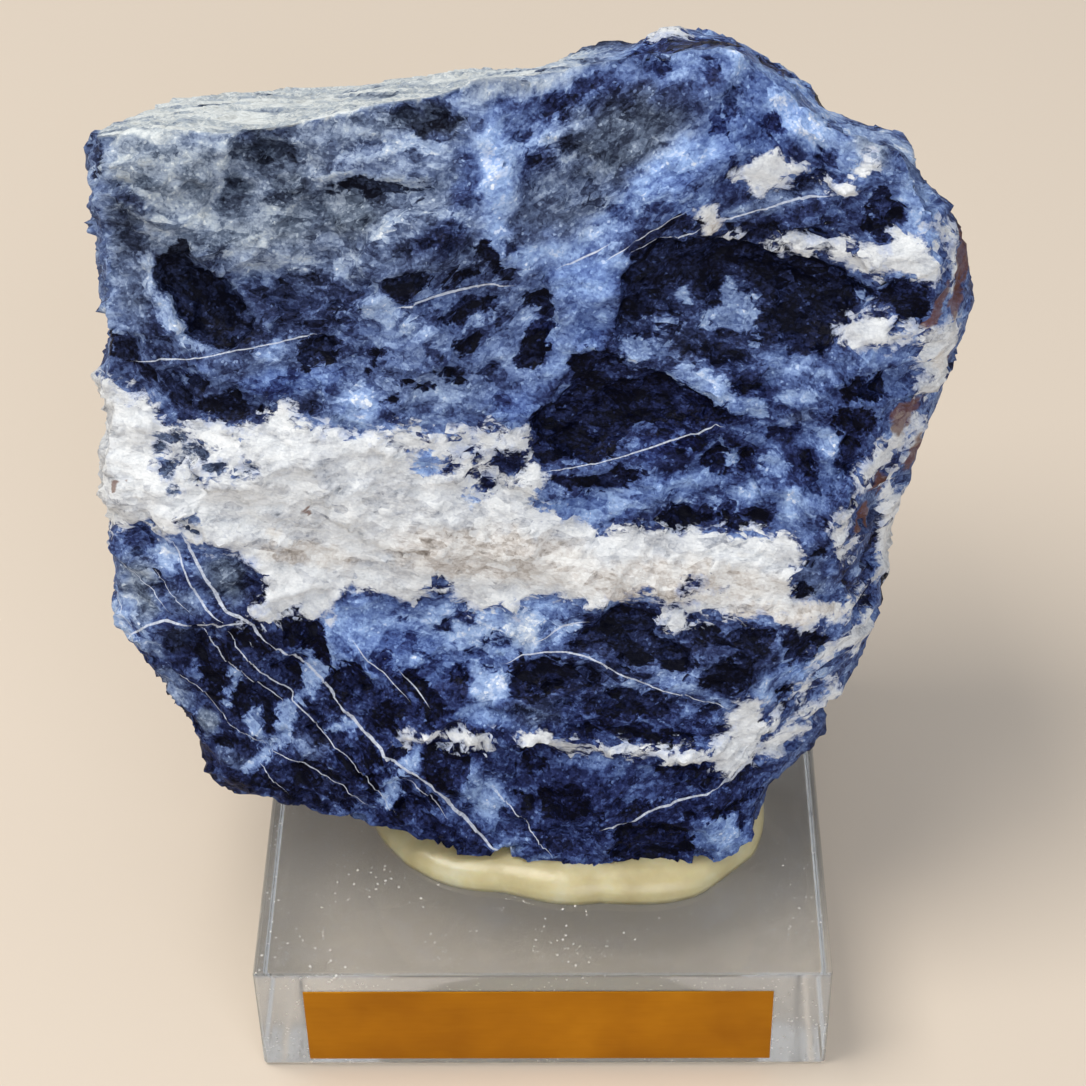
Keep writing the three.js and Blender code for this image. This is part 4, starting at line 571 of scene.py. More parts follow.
# Thin veins. A family runs roughly one way, at an angle in degrees. It is a list of tracks from right under
# to left over that way, and each track holds the widths and the points of the veins that follow one another
# on it.
VEINS = [
    (-52, [
        [(0.08, [(-28.2, 20.2), (-27.2, 19.0), (-26.4, 18.0)]),
         (0.09, [(-23.8, 15.2), (-22.2, 13.8), (-21.4, 12.6), (-20.4, 11.4), (-19.5, 10.7), (-18.0, 9.7)]),
         (0.08, [(-18.6, 8.4), (-17.8, 7.2), (-17.0, 6.2)])],
        [(0.08, [(-27.2, 22.8), (-26.0, 21.8), (-25.0, 21.0), (-24.0, 19.8)]),
         (0.09, [(-21.9, 18.3), (-21.0, 17.0), (-20.1, 15.8), (-19.0, 14.8), (-18.0, 13.8), (-16.8, 12.8)]),
         (0.12, [(-17.8, 9.4), (-15.8, 8.3), (-14.0, 7.1), (-13.2, 6.6), (-12.1, 5.4), (-11.5, 4.6)])],
        [(0.08, [(-24.6, 22.3), (-23.7, 20.8), (-22.6, 19.8)]),
         (0.1, [(-20.0, 18.0), (-18.3, 15.3), (-16.8, 13.4), (-15.4, 11.7), (-13.8, 9.7), (-12.4, 8.2),
                (-11.4, 7.0), (-10.6, 5.6), (-10.0, 4.4)])],
        [(0.15, [(-23.3, 24.2), (-22.7, 22.3), (-22.1, 21.0), (-21.4, 20.0), (-20.5, 19.2)]),
         (0.0, [(-14.6, 12.4), (-10.4, 8.2)]),
         (0.12, [(-8.9, 7.2), (-7.6, 5.9), (-6.5, 4.2)])],
        [(0.24, [(-22.7, 24.8), (-22.3, 23.7), (-21.4, 21.9), (-20.4, 20.3), (-19.5, 19.3), (-18.7, 18.6),
                 (-17.5, 17.5)]),
         (0.2, [(-17.4, 17.4), (-16.5, 16.5), (-15.5, 15.3), (-14.4, 13.9), (-13.4, 12.6)]),
         (0.27, [(-13.3, 12.5), (-12.4, 11.4), (-11.3, 10.0), (-9.8, 8.7), (-8.5, 7.4), (-7.2, 6.0),
                 (-6.0, 4.2), (-4.8, 2.6), (-3.4, 1.6), (-2.2, 0.9)])],
        [(0.1, [(-12.1, 17.2), (-11.2, 15.8), (-10.1, 14.9), (-9.4, 14.0), (-8.7, 13.3)]),
         (0.09, [(-3.4, 6.2), (-2.2, 4.8), (-1.0, 3.2), (0.6, 1.2)])],
        [(0.1, [(-9.3, 14.8), (-8.6, 13.6), (-8.0, 12.3)])],
    ]),
    (4, [
        [(0.13, [(-2.2, 15.4), (-1.2, 16.1), (0.4, 16.4), (1.6, 16.5), (2.8, 16.3), (4.0, 15.8), (5.2, 15.0),
                 (7.0, 14.2), (9.4, 13.3), (12.4, 12.3)])],
        [(0.24, [(-27.0, 17.4), (-26.2, 17.9), (-25.3, 18.7), (-24.0, 19.2), (-23.0, 18.8), (-22.0, 18.5),
                 (-21.0, 18.6), (-19.9, 18.8), (-18.9, 18.9)]),
         (0.16, [(-0.4, 16.9), (0.6, 17.5), (1.6, 18.2), (2.8, 18.5)])],
        [(0.12, [(0.6, 28.9), (2.4, 29.2), (3.8, 29.4), (5.4, 29.8), (6.8, 30.2), (9.6, 31.2),
         (11.4, 31.8)])],
        [(0.12, [(-25.2, 36.0), (-21.8, 36.3), (-20.0, 36.6), (-18.4, 37.1), (-16.8, 37.4), (-15.6, 37.5),
                 (-13.6, 37.8)]),
         (0.18, [(-8.4, 40.0), (-6.0, 40.6), (-4.0, 41.0), (-2.8, 41.1), (-1.6, 41.0)])],
    ]),
    (30, [
        [(0.2, [(4.0, 3.4), (6.3, 4.1), (7.8, 5.0), (10.4, 6.0), (11.7, 6.4)]),
         (0.42, [(11.8, 6.5), (12.8, 7.2), (14.2, 8.2)])],
        [(0.1, [(6.0, 42.9), (7.9, 43.8), (9.6, 44.2), (10.3, 44.4)]),
         (0.15, [(11.0, 44.8), (12.4, 45.1), (14.2, 45.6), (16.2, 46.1), (18.0, 46.4)])],
        [(0.13, [(4.8, 42.0), (5.8, 43.2), (6.9, 44.4), (8.2, 45.2), (9.4, 45.6)])],
        [(0.12, [(1.6, 42.3), (2.8, 42.7), (3.6, 43.3), (4.4, 43.8)])],
    ]),
]

# Ways the fine streaks of the rock run, in degrees: over most of the face, and in ovals of a middle and half
# lengths over the rest.
PLAIN_FLOW = -10
STEEP_FLOW = -52
STEEP_PLACES = [
    ((-18, 14), (9, 7)), ((-8, 8), (9, 6)), ((19, 30), (4, 9)), ((15, 52), (5, 4)), ((-23, 38), (3, 6))]
RISING_FLOW = 30
RISING_PLACES = [
    ((5, 49), (9, 6)), ((-3, 40), (7, 4)), ((9, 5), (8, 4)), ((18, 14), (5, 5)), ((8, 44), (7, 3))]


# ---------------------------------------------------------------- settings

class StoneSettings(bpy.types.PropertyGroup):
    """Sizes and colours of the stone."""
    chip_size: FloatProperty(
        name="Chip size", description="Usual width of a broken chip", default=3.8 * MM, unit="LENGTH")
    chip_depth: FloatProperty(
        name="Chip depth", description="Depth of a broken chip", default=0.5 * MM, unit="LENGTH")
    grain_size: FloatProperty(
        name="Grain size", description="Width of the finest crystal grains", default=0.42 * MM, unit="LENGTH")
    bump_depth: FloatProperty(
        name="Grain depth", description="Depth of the finest grains", default=0.15 * MM, unit="LENGTH")


class BlockSettings(bpy.types.PropertyGroup):
    """Look of the display block."""
    edge_break: FloatProperty(
        name="Edge break", description="Width of the polished edge", default=0.3 * MM, unit="LENGTH")


class GlueSettings(bpy.types.PropertyGroup):
    """Size of the glue."""
    height: FloatProperty(
        name="Height", description="Height of the set glue over the block", default=1.9 * MM, unit="LENGTH")


class LabelSettings(bpy.types.PropertyGroup):
    """Size of the foil strip."""
    thickness: FloatProperty(
        name="Thickness", description="Thickness of the foil strip", default=0.1 * MM, unit="LENGTH")


class StageSettings(bpy.types.PropertyGroup):
    """Floor, light and camera."""
    floor_colour: FloatVectorProperty(
        name="Floor colour", description="Plain pale floor", subtype="COLOR", default=(0.64, 0.55, 0.45))
    key_power: FloatProperty(
        name="Key light", description="Power of the large softbox", default=2.3, unit="POWER")
    fill_power: FloatProperty(
        name="Fill light", description="Power of the softbox in front", default=1.5, unit="POWER")


# ---------------------------------------------------------------- small helpers

def colour(hex_code):
    """Linear colour of an sRGB hex value such as #8a9bb0."""
    parts = [int(hex_code[i:i + 2], 16) / 255 for i in (1, 3, 5)]
    return (*(p / 12.92 if p <= 0.04045 else ((p + 0.055) / 1.055) ** 2.4 for p in parts), 1.0)


def node(tree, kind, inputs=None, stops=None, out=0, **settings):
    """Adds a shader node and returns one of its outputs. inputs holds values or other nodes' outputs."""
    made = tree.nodes.new("ShaderNode" + kind)
    for name, value in settings.items():
        setattr(made, name, value)
    for key, value in (inputs or {}).items():
        if isinstance(value, bpy.types.NodeSocket):
            tree.links.new(value, made.inputs[key])
        else:
            made.inputs[key].default_value = value
    if stops:
        ramp = made.color_ramp
        while len(ramp.elements) < len(stops):
            ramp.elements.new(1.0)
        for element, (place, hex_code) in zip(ramp.elements, stops):
            element.position = place
            element.color = colour(hex_code)
    return made.outputs[out] if made.outputs else None


def box_bmesh(low, high, edge, segments):
    """A box between two corners, with its edges broken by a small round."""
    bm = bmesh.new()
    bmesh.ops.create_cube(bm, size=1.0)
    bmesh.ops.scale(bm, verts=bm.verts, vec=high - low)
    bmesh.ops.translate(bm, verts=bm.verts, vec=(high + low) / 2)
    bmesh.ops.bevel(
        bm, geom=bm.edges, offset=edge, segments=segments, profile=0.5, affect="EDGES", material=-1)
    return bm


def start_material(name):
    """An empty material and the tree of its nodes."""
    material = bpy.data.materials.new(name)
    material.use_nodes = True
    material.node_tree.nodes.clear()
    return material, material.node_tree


def add_piece(name, bm, material, replaced):
    """Makes a finished piece of a bmesh, which rides on the one body and stands for a solid."""
    mesh = bpy.data.meshes.new(name)
    bm.to_mesh(mesh)
    bm.free()
    return dress(bpy.data.objects.new(name, mesh), material, replaced)


def dress(piece, material, replaced):
    """Puts a piece in the scene with its material, body, slot and solid."""
    if piece.name not in bpy.context.scene.collection.objects:
        bpy.context.scene.collection.objects.link(piece)
    piece.data.materials.clear()
    piece.data.materials.append(material)
    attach(piece, "root")
    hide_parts(replaced)
    return piece


def smooth_step(value, low=0.0, high=1.0):
    """Eases from 0 at low to 1 at high."""
    part = np.clip((value - low) / (high - low), 0, 1)
    return part * part * (3 - 2 * part)


def cell_number(cells, seed):
    """Repeatable numbers from 0 to 1, one for each whole-numbered cell."""
    mixed = cells.astype(np.int64) @ np.array((374761393, 668265263, 1440662683)) + seed * 974634777
    mixed = (mixed ^ (mixed >> 13)) * 1274126177
    mixed = mixed ^ (mixed >> 16)
    return (mixed & 0xFFFFFF) / 0x1000000


def soft_noise(points, size, seed):
    """Smooth lumps of one size, from -1 to 1."""
    scaled = points / size
    cell = np.floor(scaled)
    part = scaled - cell
    part = part * part * (3 - 2 * part)
    total = np.zeros(len(points))
    for corner in np.ndindex(2, 2, 2):
        weight = np.prod(np.where(corner, part, 1 - part), axis=1)
        total += weight * cell_number(cell + corner, seed)
    return 2 * total - 1


def rough_noise(points, size, seed, layers=4):
    """Lumps of several sizes, from about -1 to 1."""
    return sum(soft_noise(points, size / 2 ** n, seed + n) / 2 ** n for n in range(layers)) / 1.5


def scoops(points, size, seed):
    """Shallow scoops that meet in sharp ridges: height from about -0.4 to 0.5, a number for each scoop from 0
    to 1, how far a point is from a ridge, and the height of a flat, tilted flake in each scoop's place."""
    scaled = points / size
    cell = np.floor(scaled)
    lowest = np.full(len(points), np.inf)
    second = np.full(len(points), np.inf)
    owner = np.zeros(len(points))
    flake = np.zeros(len(points))
    for step in np.ndindex(3, 3, 3):
        there = cell + np.array(step) - 1
        roll = [cell_number(there, seed + n) for n in range(5)]
        away = there + np.stack(roll[:3], axis=1) - scaled
        reach = (away ** 2).sum(axis=1) + roll[3] / 2
        closer = reach < lowest
        second = np.where(closer, lowest, np.minimum(second, reach))
        owner = np.where(closer, roll[3], owner)
        tilt = 2 * math.pi * roll[4]
        flake = np.where(closer, away[:, 0] * np.cos(tilt) + away[:, 1] * np.sin(tilt) + 0.5 - roll[4], flake)
        lowest = np.where(closer, reach, lowest)
    return lowest - 0.4, owner, second - lowest, flake


def depth_inside(x, y, outline):
    """How far points lie inside an outline, in its own units; negative outside."""
    corners = np.array(outline)
    nearest = np.full(len(x), np.inf)
    inside = np.zeros(len(x), bool)
    for (ax, ay), (bx, by) in zip(corners, np.roll(corners, -1, axis=0)):
        dx, dy = bx - ax, by - ay
        along = np.clip(((x - ax) * dx + (y - ay) * dy) / (dx * dx + dy * dy), 0, 1)
        nearest = np.minimum(nearest, np.hypot(x - ax - along * dx, y - ay - along * dy))
        crosses = (ay > y) != (by > y)
        with np.errstate(divide="ignore", invalid="ignore"):
            left = x < (bx - ax) * (y - ay) / (by - ay) + ax
        inside ^= crosses & left
    return np.where(inside, nearest, -nearest)


def depth_inside_oval(x, y, middle, half, turn):
    """1 in the middle of an oval, 0 on its rim and negative outside."""
    angle = math.radians(turn)
    dx, dy = x - middle[0], y - middle[1]
    along = (dx * math.cos(angle) + dy * math.sin(angle)) / half[0]
    across = (dy * math.cos(angle) - dx * math.sin(angle)) / half[1]
    return 1 - np.hypot(along, across)


# ---------------------------------------------------------------- the stone

MERGE_DISTANCE = 0.001 * MM
FINER_LEVELS = 2
RIDGE_DEGREES = 38
SHARP_DEGREES = 32

# How far the relief is sunk as a whole, in mm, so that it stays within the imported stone.
SINK = 0.3

# Where the front's minerals fade in: by the distance in front of the stone's plane, in mm, and by how far a
# face turns to the front.
FRONT_DISTANCE = (-8.0, -4.0)
FRONT_FACING = (-0.35, 0.2)

# Where the cleaved top fades in: by how far a face turns up, by the way to the left and by the height, in mm.
TOP_FACING = (0.62, 0.8)
TOP_LEFTWARD = (-7.0, -2.0)
TOP_HEIGHT = (44.0, 46.0)

# Bodies are told apart up to this depth inside or outside them, in mm.
DEPTH_LIMIT = 3.0

# Soft rims of the clouds and of the other ovals, in shares of their half lengths.
CLOUD_RIM = (-0.35, 0.55)
OVAL_RIM = (-0.35, 0.5)

# Dark bodies in the white band: left of this place they are paler and greyer.
GREY_SIDE = -10
GREY_SIDE_TONE, OTHER_SIDE_TONE = 0.32, 0.16
GREY_SIDE_GREY, OTHER_SIDE_GREY = 0.8, 0.2


def stone_frame():
    """Matrix from the stone's own frame, in mm, to the row's frame, in metres."""
    lean = Matrix.Rotation(math.radians(90 - LEAN_DEGREES), 4, "X")
    return Matrix.Scale(MM, 4) @ Matrix.Translation(FOOT) @ lean


def fine_stone(solid):
    """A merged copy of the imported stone, rounded between its facets but sharp along its ridges."""
    ridge_angle = math.radians(RIDGE_DEGREES)
    bm = bmesh.new()
    bm.from_mesh(solid.data)
    bmesh.ops.remove_doubles(bm, verts=bm.verts, dist=MERGE_DISTANCE)
    crease = bm.edges.layers.float.new("crease_edge")
    for edge in bm.edges:
        bend = edge.calc_face_angle(0)
        edge[crease] = min(1.0, max(0.0, bend - ridge_angle) / ridge_angle)
    mesh = bpy.data.meshes.new("sodalite_stone")
    bm.to_mesh(mesh)
    bm.free()
    piece = bpy.data.objects.new("sodalite_stone", mesh)
    bpy.context.scene.collection.objects.link(piece)
    finer = piece.modifiers.new("Finer", "SUBSURF")
    finer.levels = finer.render_levels = FINER_LEVELS
    bpy.context.view_layer.update()
    evaluated = piece.evaluated_get(bpy.context.evaluated_depsgraph_get())
    piece.data = bpy.data.meshes.new_from_object(evaluated)
    piece.modifiers.clear()
    bpy.data.meshes.remove(mesh)
    return piece


def read_vectors(items, name):
    """A vector of each vertex, as rows of three numbers."""
    flat = np.empty(len(items) * 3, np.float32)
    items.foreach_get(name, flat)
    return flat.reshape(-1, 3).astype(float)


def mix(values, target, share):
    """Values drawn towards a target by a share from 0 to 1."""
    return values + (target - values) * share


def oval_share(x, y, places):
    """Share from 0 to 1 of points in some ovals, soft at their rims; a place holds a middle and half lengths,
    and may hold a turn."""
    share = np.zeros(len(x))
    for middle, half, *turn in places:
        depth = depth_inside_oval(x, y, middle, half, turn[0] if turn else 0)
        share = np.maximum(share, smooth_step(depth, *OVAL_RIM))
    return share


def deepest(x, y, outlines):
    """How far points lie inside the nearest of some bodies, in mm, negative outside."""
    depth = np.full(len(x), -DEPTH_LIMIT)
    for outline in outlines:
        depth = np.maximum(depth, depth_inside(x, y, outline))
    return np.minimum(depth, DEPTH_LIMIT)


def shade_of_blocks(points):
    """Lighter and darker crystal blocks with pale rims: a number for each from -0.5 to 0.5, and how near a
    rim the point is, from 0 to 1."""
    _, shade, rim, _ = scoops(points, size=1.6, seed=401)
    return shade - 0.5, 1 - smooth_step(rim, 0, 0.14)


def front_minerals(points):
    """The minerals of the front face at points in the stone's frame, in mm. Those of each body are how far a
    point lies inside it, in mm; the others are shares from 0 to 1."""
    # the outlines break up along crystal blocks
    _, block, _, slant = scoops(points, size=1.2, seed=321)
    x = points[:, 0] + 0.2 * rough_noise(points, size=1.6, seed=301) + 0.7 * (block - 0.5)
    y = points[:, 1] + 0.2 * rough_noise(points, size=1.6, seed=311) + 0.5 * slant
    tone = np.full(len(points), PLAIN_TONE)
    grey = np.full(len(points), PLAIN_GREY)
    for middle, half, turn, cloud_tone, cloud_grey in CLOUDS:
        share = smooth_step(depth_inside_oval(x, y, middle, half, turn), *CLOUD_RIM)
        tone = mix(tone, cloud_tone, share)
        grey = mix(grey, cloud_grey, share)
    shade, rim = shade_of_blocks(points)
    tone += 0.2 * shade + 0.08 * rim + 0.06 * rough_noise(points, size=3.0, seed=441)
    white = deepest(x, y, WHITE)
    thinned, thinning = 0.55, 0.6
    for outline in THIN_WHITE:
        white = np.minimum(white, thinned - thinning * depth_inside(x, y, outline))
    grey_side = x < GREY_SIDE
    for outline in IN_WHITE:
        depth = depth_inside(x, y, outline)
        white = np.minimum(white, -depth)
        within = smooth_step(depth, -0.5, 0.1)
        tone = mix(tone, np.where(grey_side, GREY_SIDE_TONE, OTHER_SIDE_TONE), within)
        grey = mix(grey, np.where(grey_side, GREY_SIDE_GREY, OTHER_SIDE_GREY), within)
    # the black and pale fields also carry painted shade and painted highlights along two raised lenses
    return {
        "tone": tone,
        "black": deepest(x, y, BLACK_AND_PAINTED_SHADE),
        "navy": deepest(x, y, NAVY),
        "pale": deepest(x, y, PALE_AND_PAINTED_HIGHLIGHTS),
        "white": white,
        "grey": grey,
        "warm": oval_share(x, y, WARM),
        "rust": oval_share(x, y, RUST),
    }


def inner_minerals(points):
    """The minerals of the sides and the back, in the same measures: the white band runs on as a sheet through
    the stone, between bodies of black, navy and pale sodalite."""
    x, y, z = points.T
    lumps = rough_noise(points, size=6.0, seed=701)
    band_height, second_below = 27.5, 15
    middle = band_height - 0.16 * x + 0.22 * z + 2.2 * rough_noise(points, size=9.0, seed=711, layers=3)
    sheet = 2.8 + 1.8 * lumps - np.abs(y - middle)
    second = 0.7 + 1.2 * rough_noise(points, size=5.0, seed=721) - np.abs(y - middle + second_below - 0.3 * z)
    patch = 5 * (rough_noise(points * (1, 1.6, 1), size=8.0, seed=731) - 0.5)
    shade, rim = shade_of_blocks(points)
    flat = points * (1, 1.5, 1)
    bodies = {}
    kinds = (("black", 5.5, 741, 0.22), ("navy", 4.0, 751, 0.12), ("pale", 3.5, 761, 0.3))
    for name, size, seed, least in kinds:
        bodies[name] = 4 * (rough_noise(flat, size, seed) - least)
    rust_end = 45
    rust = 0.6 * smooth_step(rough_noise(points, size=7.0, seed=791), 0.3, 0.6)
    rust *= smooth_step(rust_end - y, 0.0, 3.0)
    return {
        **bodies,
        "tone": 0.42 + 0.16 * shade + 0.07 * rim + 0.3 * lumps,
        "white": np.clip(np.maximum(np.maximum(sheet, second), patch), -DEPTH_LIMIT, DEPTH_LIMIT),
        "grey": smooth_step(rough_noise(points, size=11.0, seed=771), -0.3, 0.6),
        "warm": smooth_step(rough_noise(points, size=6.0, seed=781), 0.0, 0.6),
        "rust": rust,
    }


def top_minerals(points):
    """The pale, weathered cleavage face on top, with dark dashes along its grain."""
    x, _, z = points.T
    grain = np.stack((x / 5 + 0.12 * z, 0 * x, z - 0.25 * x), axis=1)
    lines = rough_noise(grain, size=0.8, seed=801, layers=3)
    fade = smooth_step(x, -6.0, 5.0)
    tone = 0.9 + 0.3 * lines - 0.16 * fade + 0.12 * rough_noise(points, size=2.0, seed=811)
    dashes = smooth_step(rough_noise(grain, size=1.1, seed=821, layers=3) + 0.2 * fade, 0.36, 0.62)
    never = np.full(len(x), -DEPTH_LIMIT)
    return {"tone": tone - 0.4 * dashes, "black": never, "navy": never, "pale": never, "white": never,
            "grey": 1 - 0.3 * fade, "warm": 0 * x, "rust": 0 * x}


def vein_place(x, y, turn, tracks):
    """Place of points among a family's tracks, which is a whole number on each and changes by 1 in every
    pitch near it, and the half width of the vein there in the same measure. Veins taper at their ends."""
    pitch = 0.8
    taper = 0.2
    samples = 900
    angle = math.radians(turn)
    along = x * math.cos(angle) + y * math.sin(angle)
    across = y * math.cos(angle) - x * math.sin(angle)
    steps = np.linspace(along.min(), along.max(), samples)
    lines, widths = [], []
    for track in tracks:
        at, side = [], []
        wide = 0 * steps
        for width, points in track:
            px, py = np.array(points).T
            at.extend(px * math.cos(angle) + py * math.sin(angle))
            side.extend(py * math.cos(angle) - px * math.sin(angle))
            start, end = at[-len(points)], at[-1]
            wide = np.maximum(wide, width * np.clip(np.minimum(steps - start, end - steps) + taper, 0, 1))
        line = np.interp(steps, at, side)
        if lines:
            line = np.maximum(line, lines[-1] + pitch)
        lines.append(line)
        widths.append(wide)
    beyond = 4.0
    lines = np.array([lines[0] - beyond, *lines, lines[-1] + beyond])
    widths = np.array([0 * steps, *widths, 0 * steps])
    column = (along - steps[0]) / (steps[1] - steps[0])
    left = np.clip(column.astype(int), 0, len(steps) - 2)
    part = column - left
    lines = mix(lines[:, left], lines[:, left + 1], part)
    widths = mix(widths[:, left], widths[:, left + 1], part)
    below = np.clip((lines <= across).sum(axis=0) - 1, 0, len(lines) - 2)
    each = np.arange(len(x))
    over, under = across - lines[below, each], lines[below + 1, each] - across
    nearer_low = over < under
    part = np.where(nearer_low, np.clip(over / pitch, -0.5, 0.5), 1 - np.clip(under / pitch, -0.5, 0.5))
    return below + part, np.where(nearer_low, widths[below, each], widths[below + 1, each]) / 2 / pitch


def relief(points, minerals, top, front):
    """Height of the broken surface over the rounded stone, in mm; its sharpest chips are on the front."""
    settings = bpy.context.scene.sodalite_stone
    size = settings.chip_size / MM
    depth = settings.chip_depth / MM
    is_white = smooth_step(minerals["white"], -0.3, 0.5)
    dark = np.maximum(minerals["black"], minerals["navy"])
    is_dark = smooth_step(dark, -0.3, 0.4) * (1 - is_white)

    # wide chips, finer chips on them and splinters, each a rounded scoop with a flat flake in it
    wide, _, _, flake = scoops(points * (0.75, 1.15, 1), size=size, seed=501)
    fine, _, _, shard = scoops(points * (0.85, 1.1, 1), size=size / 2.6, seed=521)
    _, _, _, splinter = scoops(points * (0.8, 1.2, 1), size=size / 5, seed=531)
    height = depth * (0.8 * wide + (0.5 + 0.4 * front) * flake)
    height += 0.45 * depth * (0.8 * fine + (0.3 + 0.7 * front) * shard)
    height += 0.2 * depth * (1 + minerals["grey"]) * splinter * front

    # dark grains are broken out deeper, weathered skin is rougher and white feldspar stands proud
    dark_sunk, white_proud = 0.3, 0.25
    height += 0.08 * rough_noise(points, size=2.2, seed=541) - dark_sunk * is_dark
    height += 0.3 * minerals["grey"] * rough_noise(points, size=1.9, seed=546, layers=2)
    height += is_white * (white_proud + 0.1 * rough_noise(points, size=0.9, seed=551, layers=2))
    for outline, lift in LEDGES:
        height += lift * front * smooth_step(depth_inside(points[:, 0], points[:, 1], outline), -0.1, 0.3)

    # the top is cleaved in low steps
    step_length, step_height = 1.6, 0.28
    slope = points[:, 2] - 0.25 * points[:, 0] + 0.8 * rough_noise(points, size=4.0, seed=571)
    step = slope / step_length
    flat = step_height * (step - np.floor(step)) + 0.1 * rough_noise(points, size=1.0, seed=581)
    return mix(height, flat, top)


def make_stone():
    """The finished stone: relief in its mesh, minerals and veins in its attributes."""
    piece = fine_stone(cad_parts["sodalite"])
    mesh = piece.data
    to_stone = np.linalg.inv(np.array(stone_frame()))
    places = read_vectors(mesh.vertices, "co")
    outward = read_vectors(mesh.vertices, "normal")
    points = places @ to_stone[:3, :3].T + to_stone[:3, 3]
    facing = outward @ to_stone[:3, :3].T * MM
    front = smooth_step(points[:, 2], *FRONT_DISTANCE) * smooth_step(facing[:, 2], *FRONT_FACING)
    top = smooth_step(outward[:, 2], *TOP_FACING) * smooth_step(-points[:, 0], *TOP_LEFTWARD)
    top *= smooth_step(points[:, 1], *TOP_HEIGHT)
    inner, on_front, on_top = inner_minerals(points), front_minerals(points), top_minerals(points)
    minerals = {name: mix(mix(inner[name], on_front[name], front), on_top[name], top) for name in inner}
    height = relief(points, minerals, top, front)
    places = places + outward * (height[:, None] - SINK) * MM
    low, high = (np.array(corner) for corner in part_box("sodalite"))
    places = np.clip(places, low, high)
    mesh.vertices.foreach_set("co", places.astype(np.float32).ravel())
    mesh.update()
    mesh.shade_smooth()
    mesh.set_sharp_from_angle(angle=math.radians(SHARP_DEGREES))

    x, y = points[:, 0], points[:, 1]
    veins = []
    for turn, tracks in VEINS:
        place, width = vein_place(x, y, turn, tracks)
        veins += [place, width * (front * (1 - top))]
    flows = [front * oval_share(x, y, ovals) for ovals in (STEEP_PLACES, RISING_PLACES)]
    write_channels(mesh, "bodies", [minerals[name] for name in ("black", "navy", "pale", "white")])
    write_channels(mesh, "skin", [minerals[name] for name in ("tone", "grey", "warm", "rust")])
    write_channels(mesh, "veins", veins[:4])
    write_channels(mesh, "more_veins", [*veins[4:], *flows])
    return piece


def write_channels(mesh, name, channels):
    """Keeps four numbers for each vertex as a colour attribute."""
    layer = mesh.attributes.new(name, "FLOAT_COLOR", "POINT")
    layer.data.foreach_set("color", np.stack(channels, axis=1).astype(np.float32).ravel())


def read_channels(tree, name):
    """The four numbers of a colour attribute as outputs of nodes."""
    both = node(tree, "Attribute", attribute_name=name, out="Color")
    three = node(tree, "SeparateColor", {0: both}).node
    return [three.outputs[0], three.outputs[1], three.outputs[2], both.node.outputs["Alpha"]]


def flow_patterns(tree, here, steep, rising):
    """Streaks and crystal blocks that are drawn out along the flow of the rock, given the shares of the steep
    and the rising flow."""
    grain = bpy.context.scene.sodalite_stone.grain_size
    size = (1.7 * grain, 0.8 * grain, 0.8 * grain)
    streak, block = None, None
    for share, turn in ((None, PLAIN_FLOW), (steep, STEEP_FLOW), (rising, RISING_FLOW)):
        way = stone_frame().to_3x3().normalized() @ Matrix.Rotation(math.radians(turn), 3, "Z")
        along = node(tree, "Mapping", {
            0: here, "Rotation": way.to_euler(), "Scale": size}, vector_type="TEXTURE")
        streak_there = node(tree, "TexNoise", {
            "Vector": along, "Scale": 0.5, "Detail": 4.0, "Roughness": 0.62})
        block_there = node(tree, "TexVoronoi", {
            "Vector": along, "Scale": 0.5, "Detail": 2.0, "Roughness": 0.55, "Lacunarity": 2.4},
            out="Color", normalize=True)
        if share is not None:
            streak_there = node(tree, "Mix", {0: share, 2: streak, 3: streak_there})
            block_there = node(tree, "Mix", {0: share, 6: block, 7: block_there}, out=2, data_type="RGBA")
        streak, block = streak_there, block_there
    return streak, block


def feldspar_colour(tree, white, warm, streak, ragged, grain):
    """White feldspar: chalky grains and beige streaks, bluish where it thins out."""
    chalk = node(tree, "ValToRGB", {0: grain}, stops=[
        (0.2, "#979ca7"), (0.36, "#bcc0c6"), (0.5, "#cacdd1"), (0.66, "#d4d7d9"), (0.85, "#e0e2e3")])
    beige = node(tree, "ValToRGB", {0: grain}, stops=[
        (0.2, "#928b84"), (0.36, "#b6b0aa"), (0.5, "#cac6c2"), (0.68, "#d5d4d1"), (0.86, "#e0e0de")])
    streaky = node(tree, "Math", {0: streak, 1: 0.5, 2: warm}, operation="MULTIPLY_ADD")
    is_beige = node(tree, "MapRange", {0: streaky, 1: 0.75, 2: 1.2})
    feldspar = node(tree, "Mix", {0: is_beige, 6: chalk, 7: beige}, out=2, data_type="RGBA")
    edge = node(tree, "Math", {0: ragged, 1: 3.2, 2: white}, operation="MULTIPLY_ADD")
    thin = node(tree, "MapRange", {0: edge, 1: 1.2, 2: 1.9, 3: 0.5, 4: 0.0})
    return node(tree, "Mix", {0: thin, 6: feldspar, 7: colour("#8a9fcf")}, out=2, data_type="RGBA")


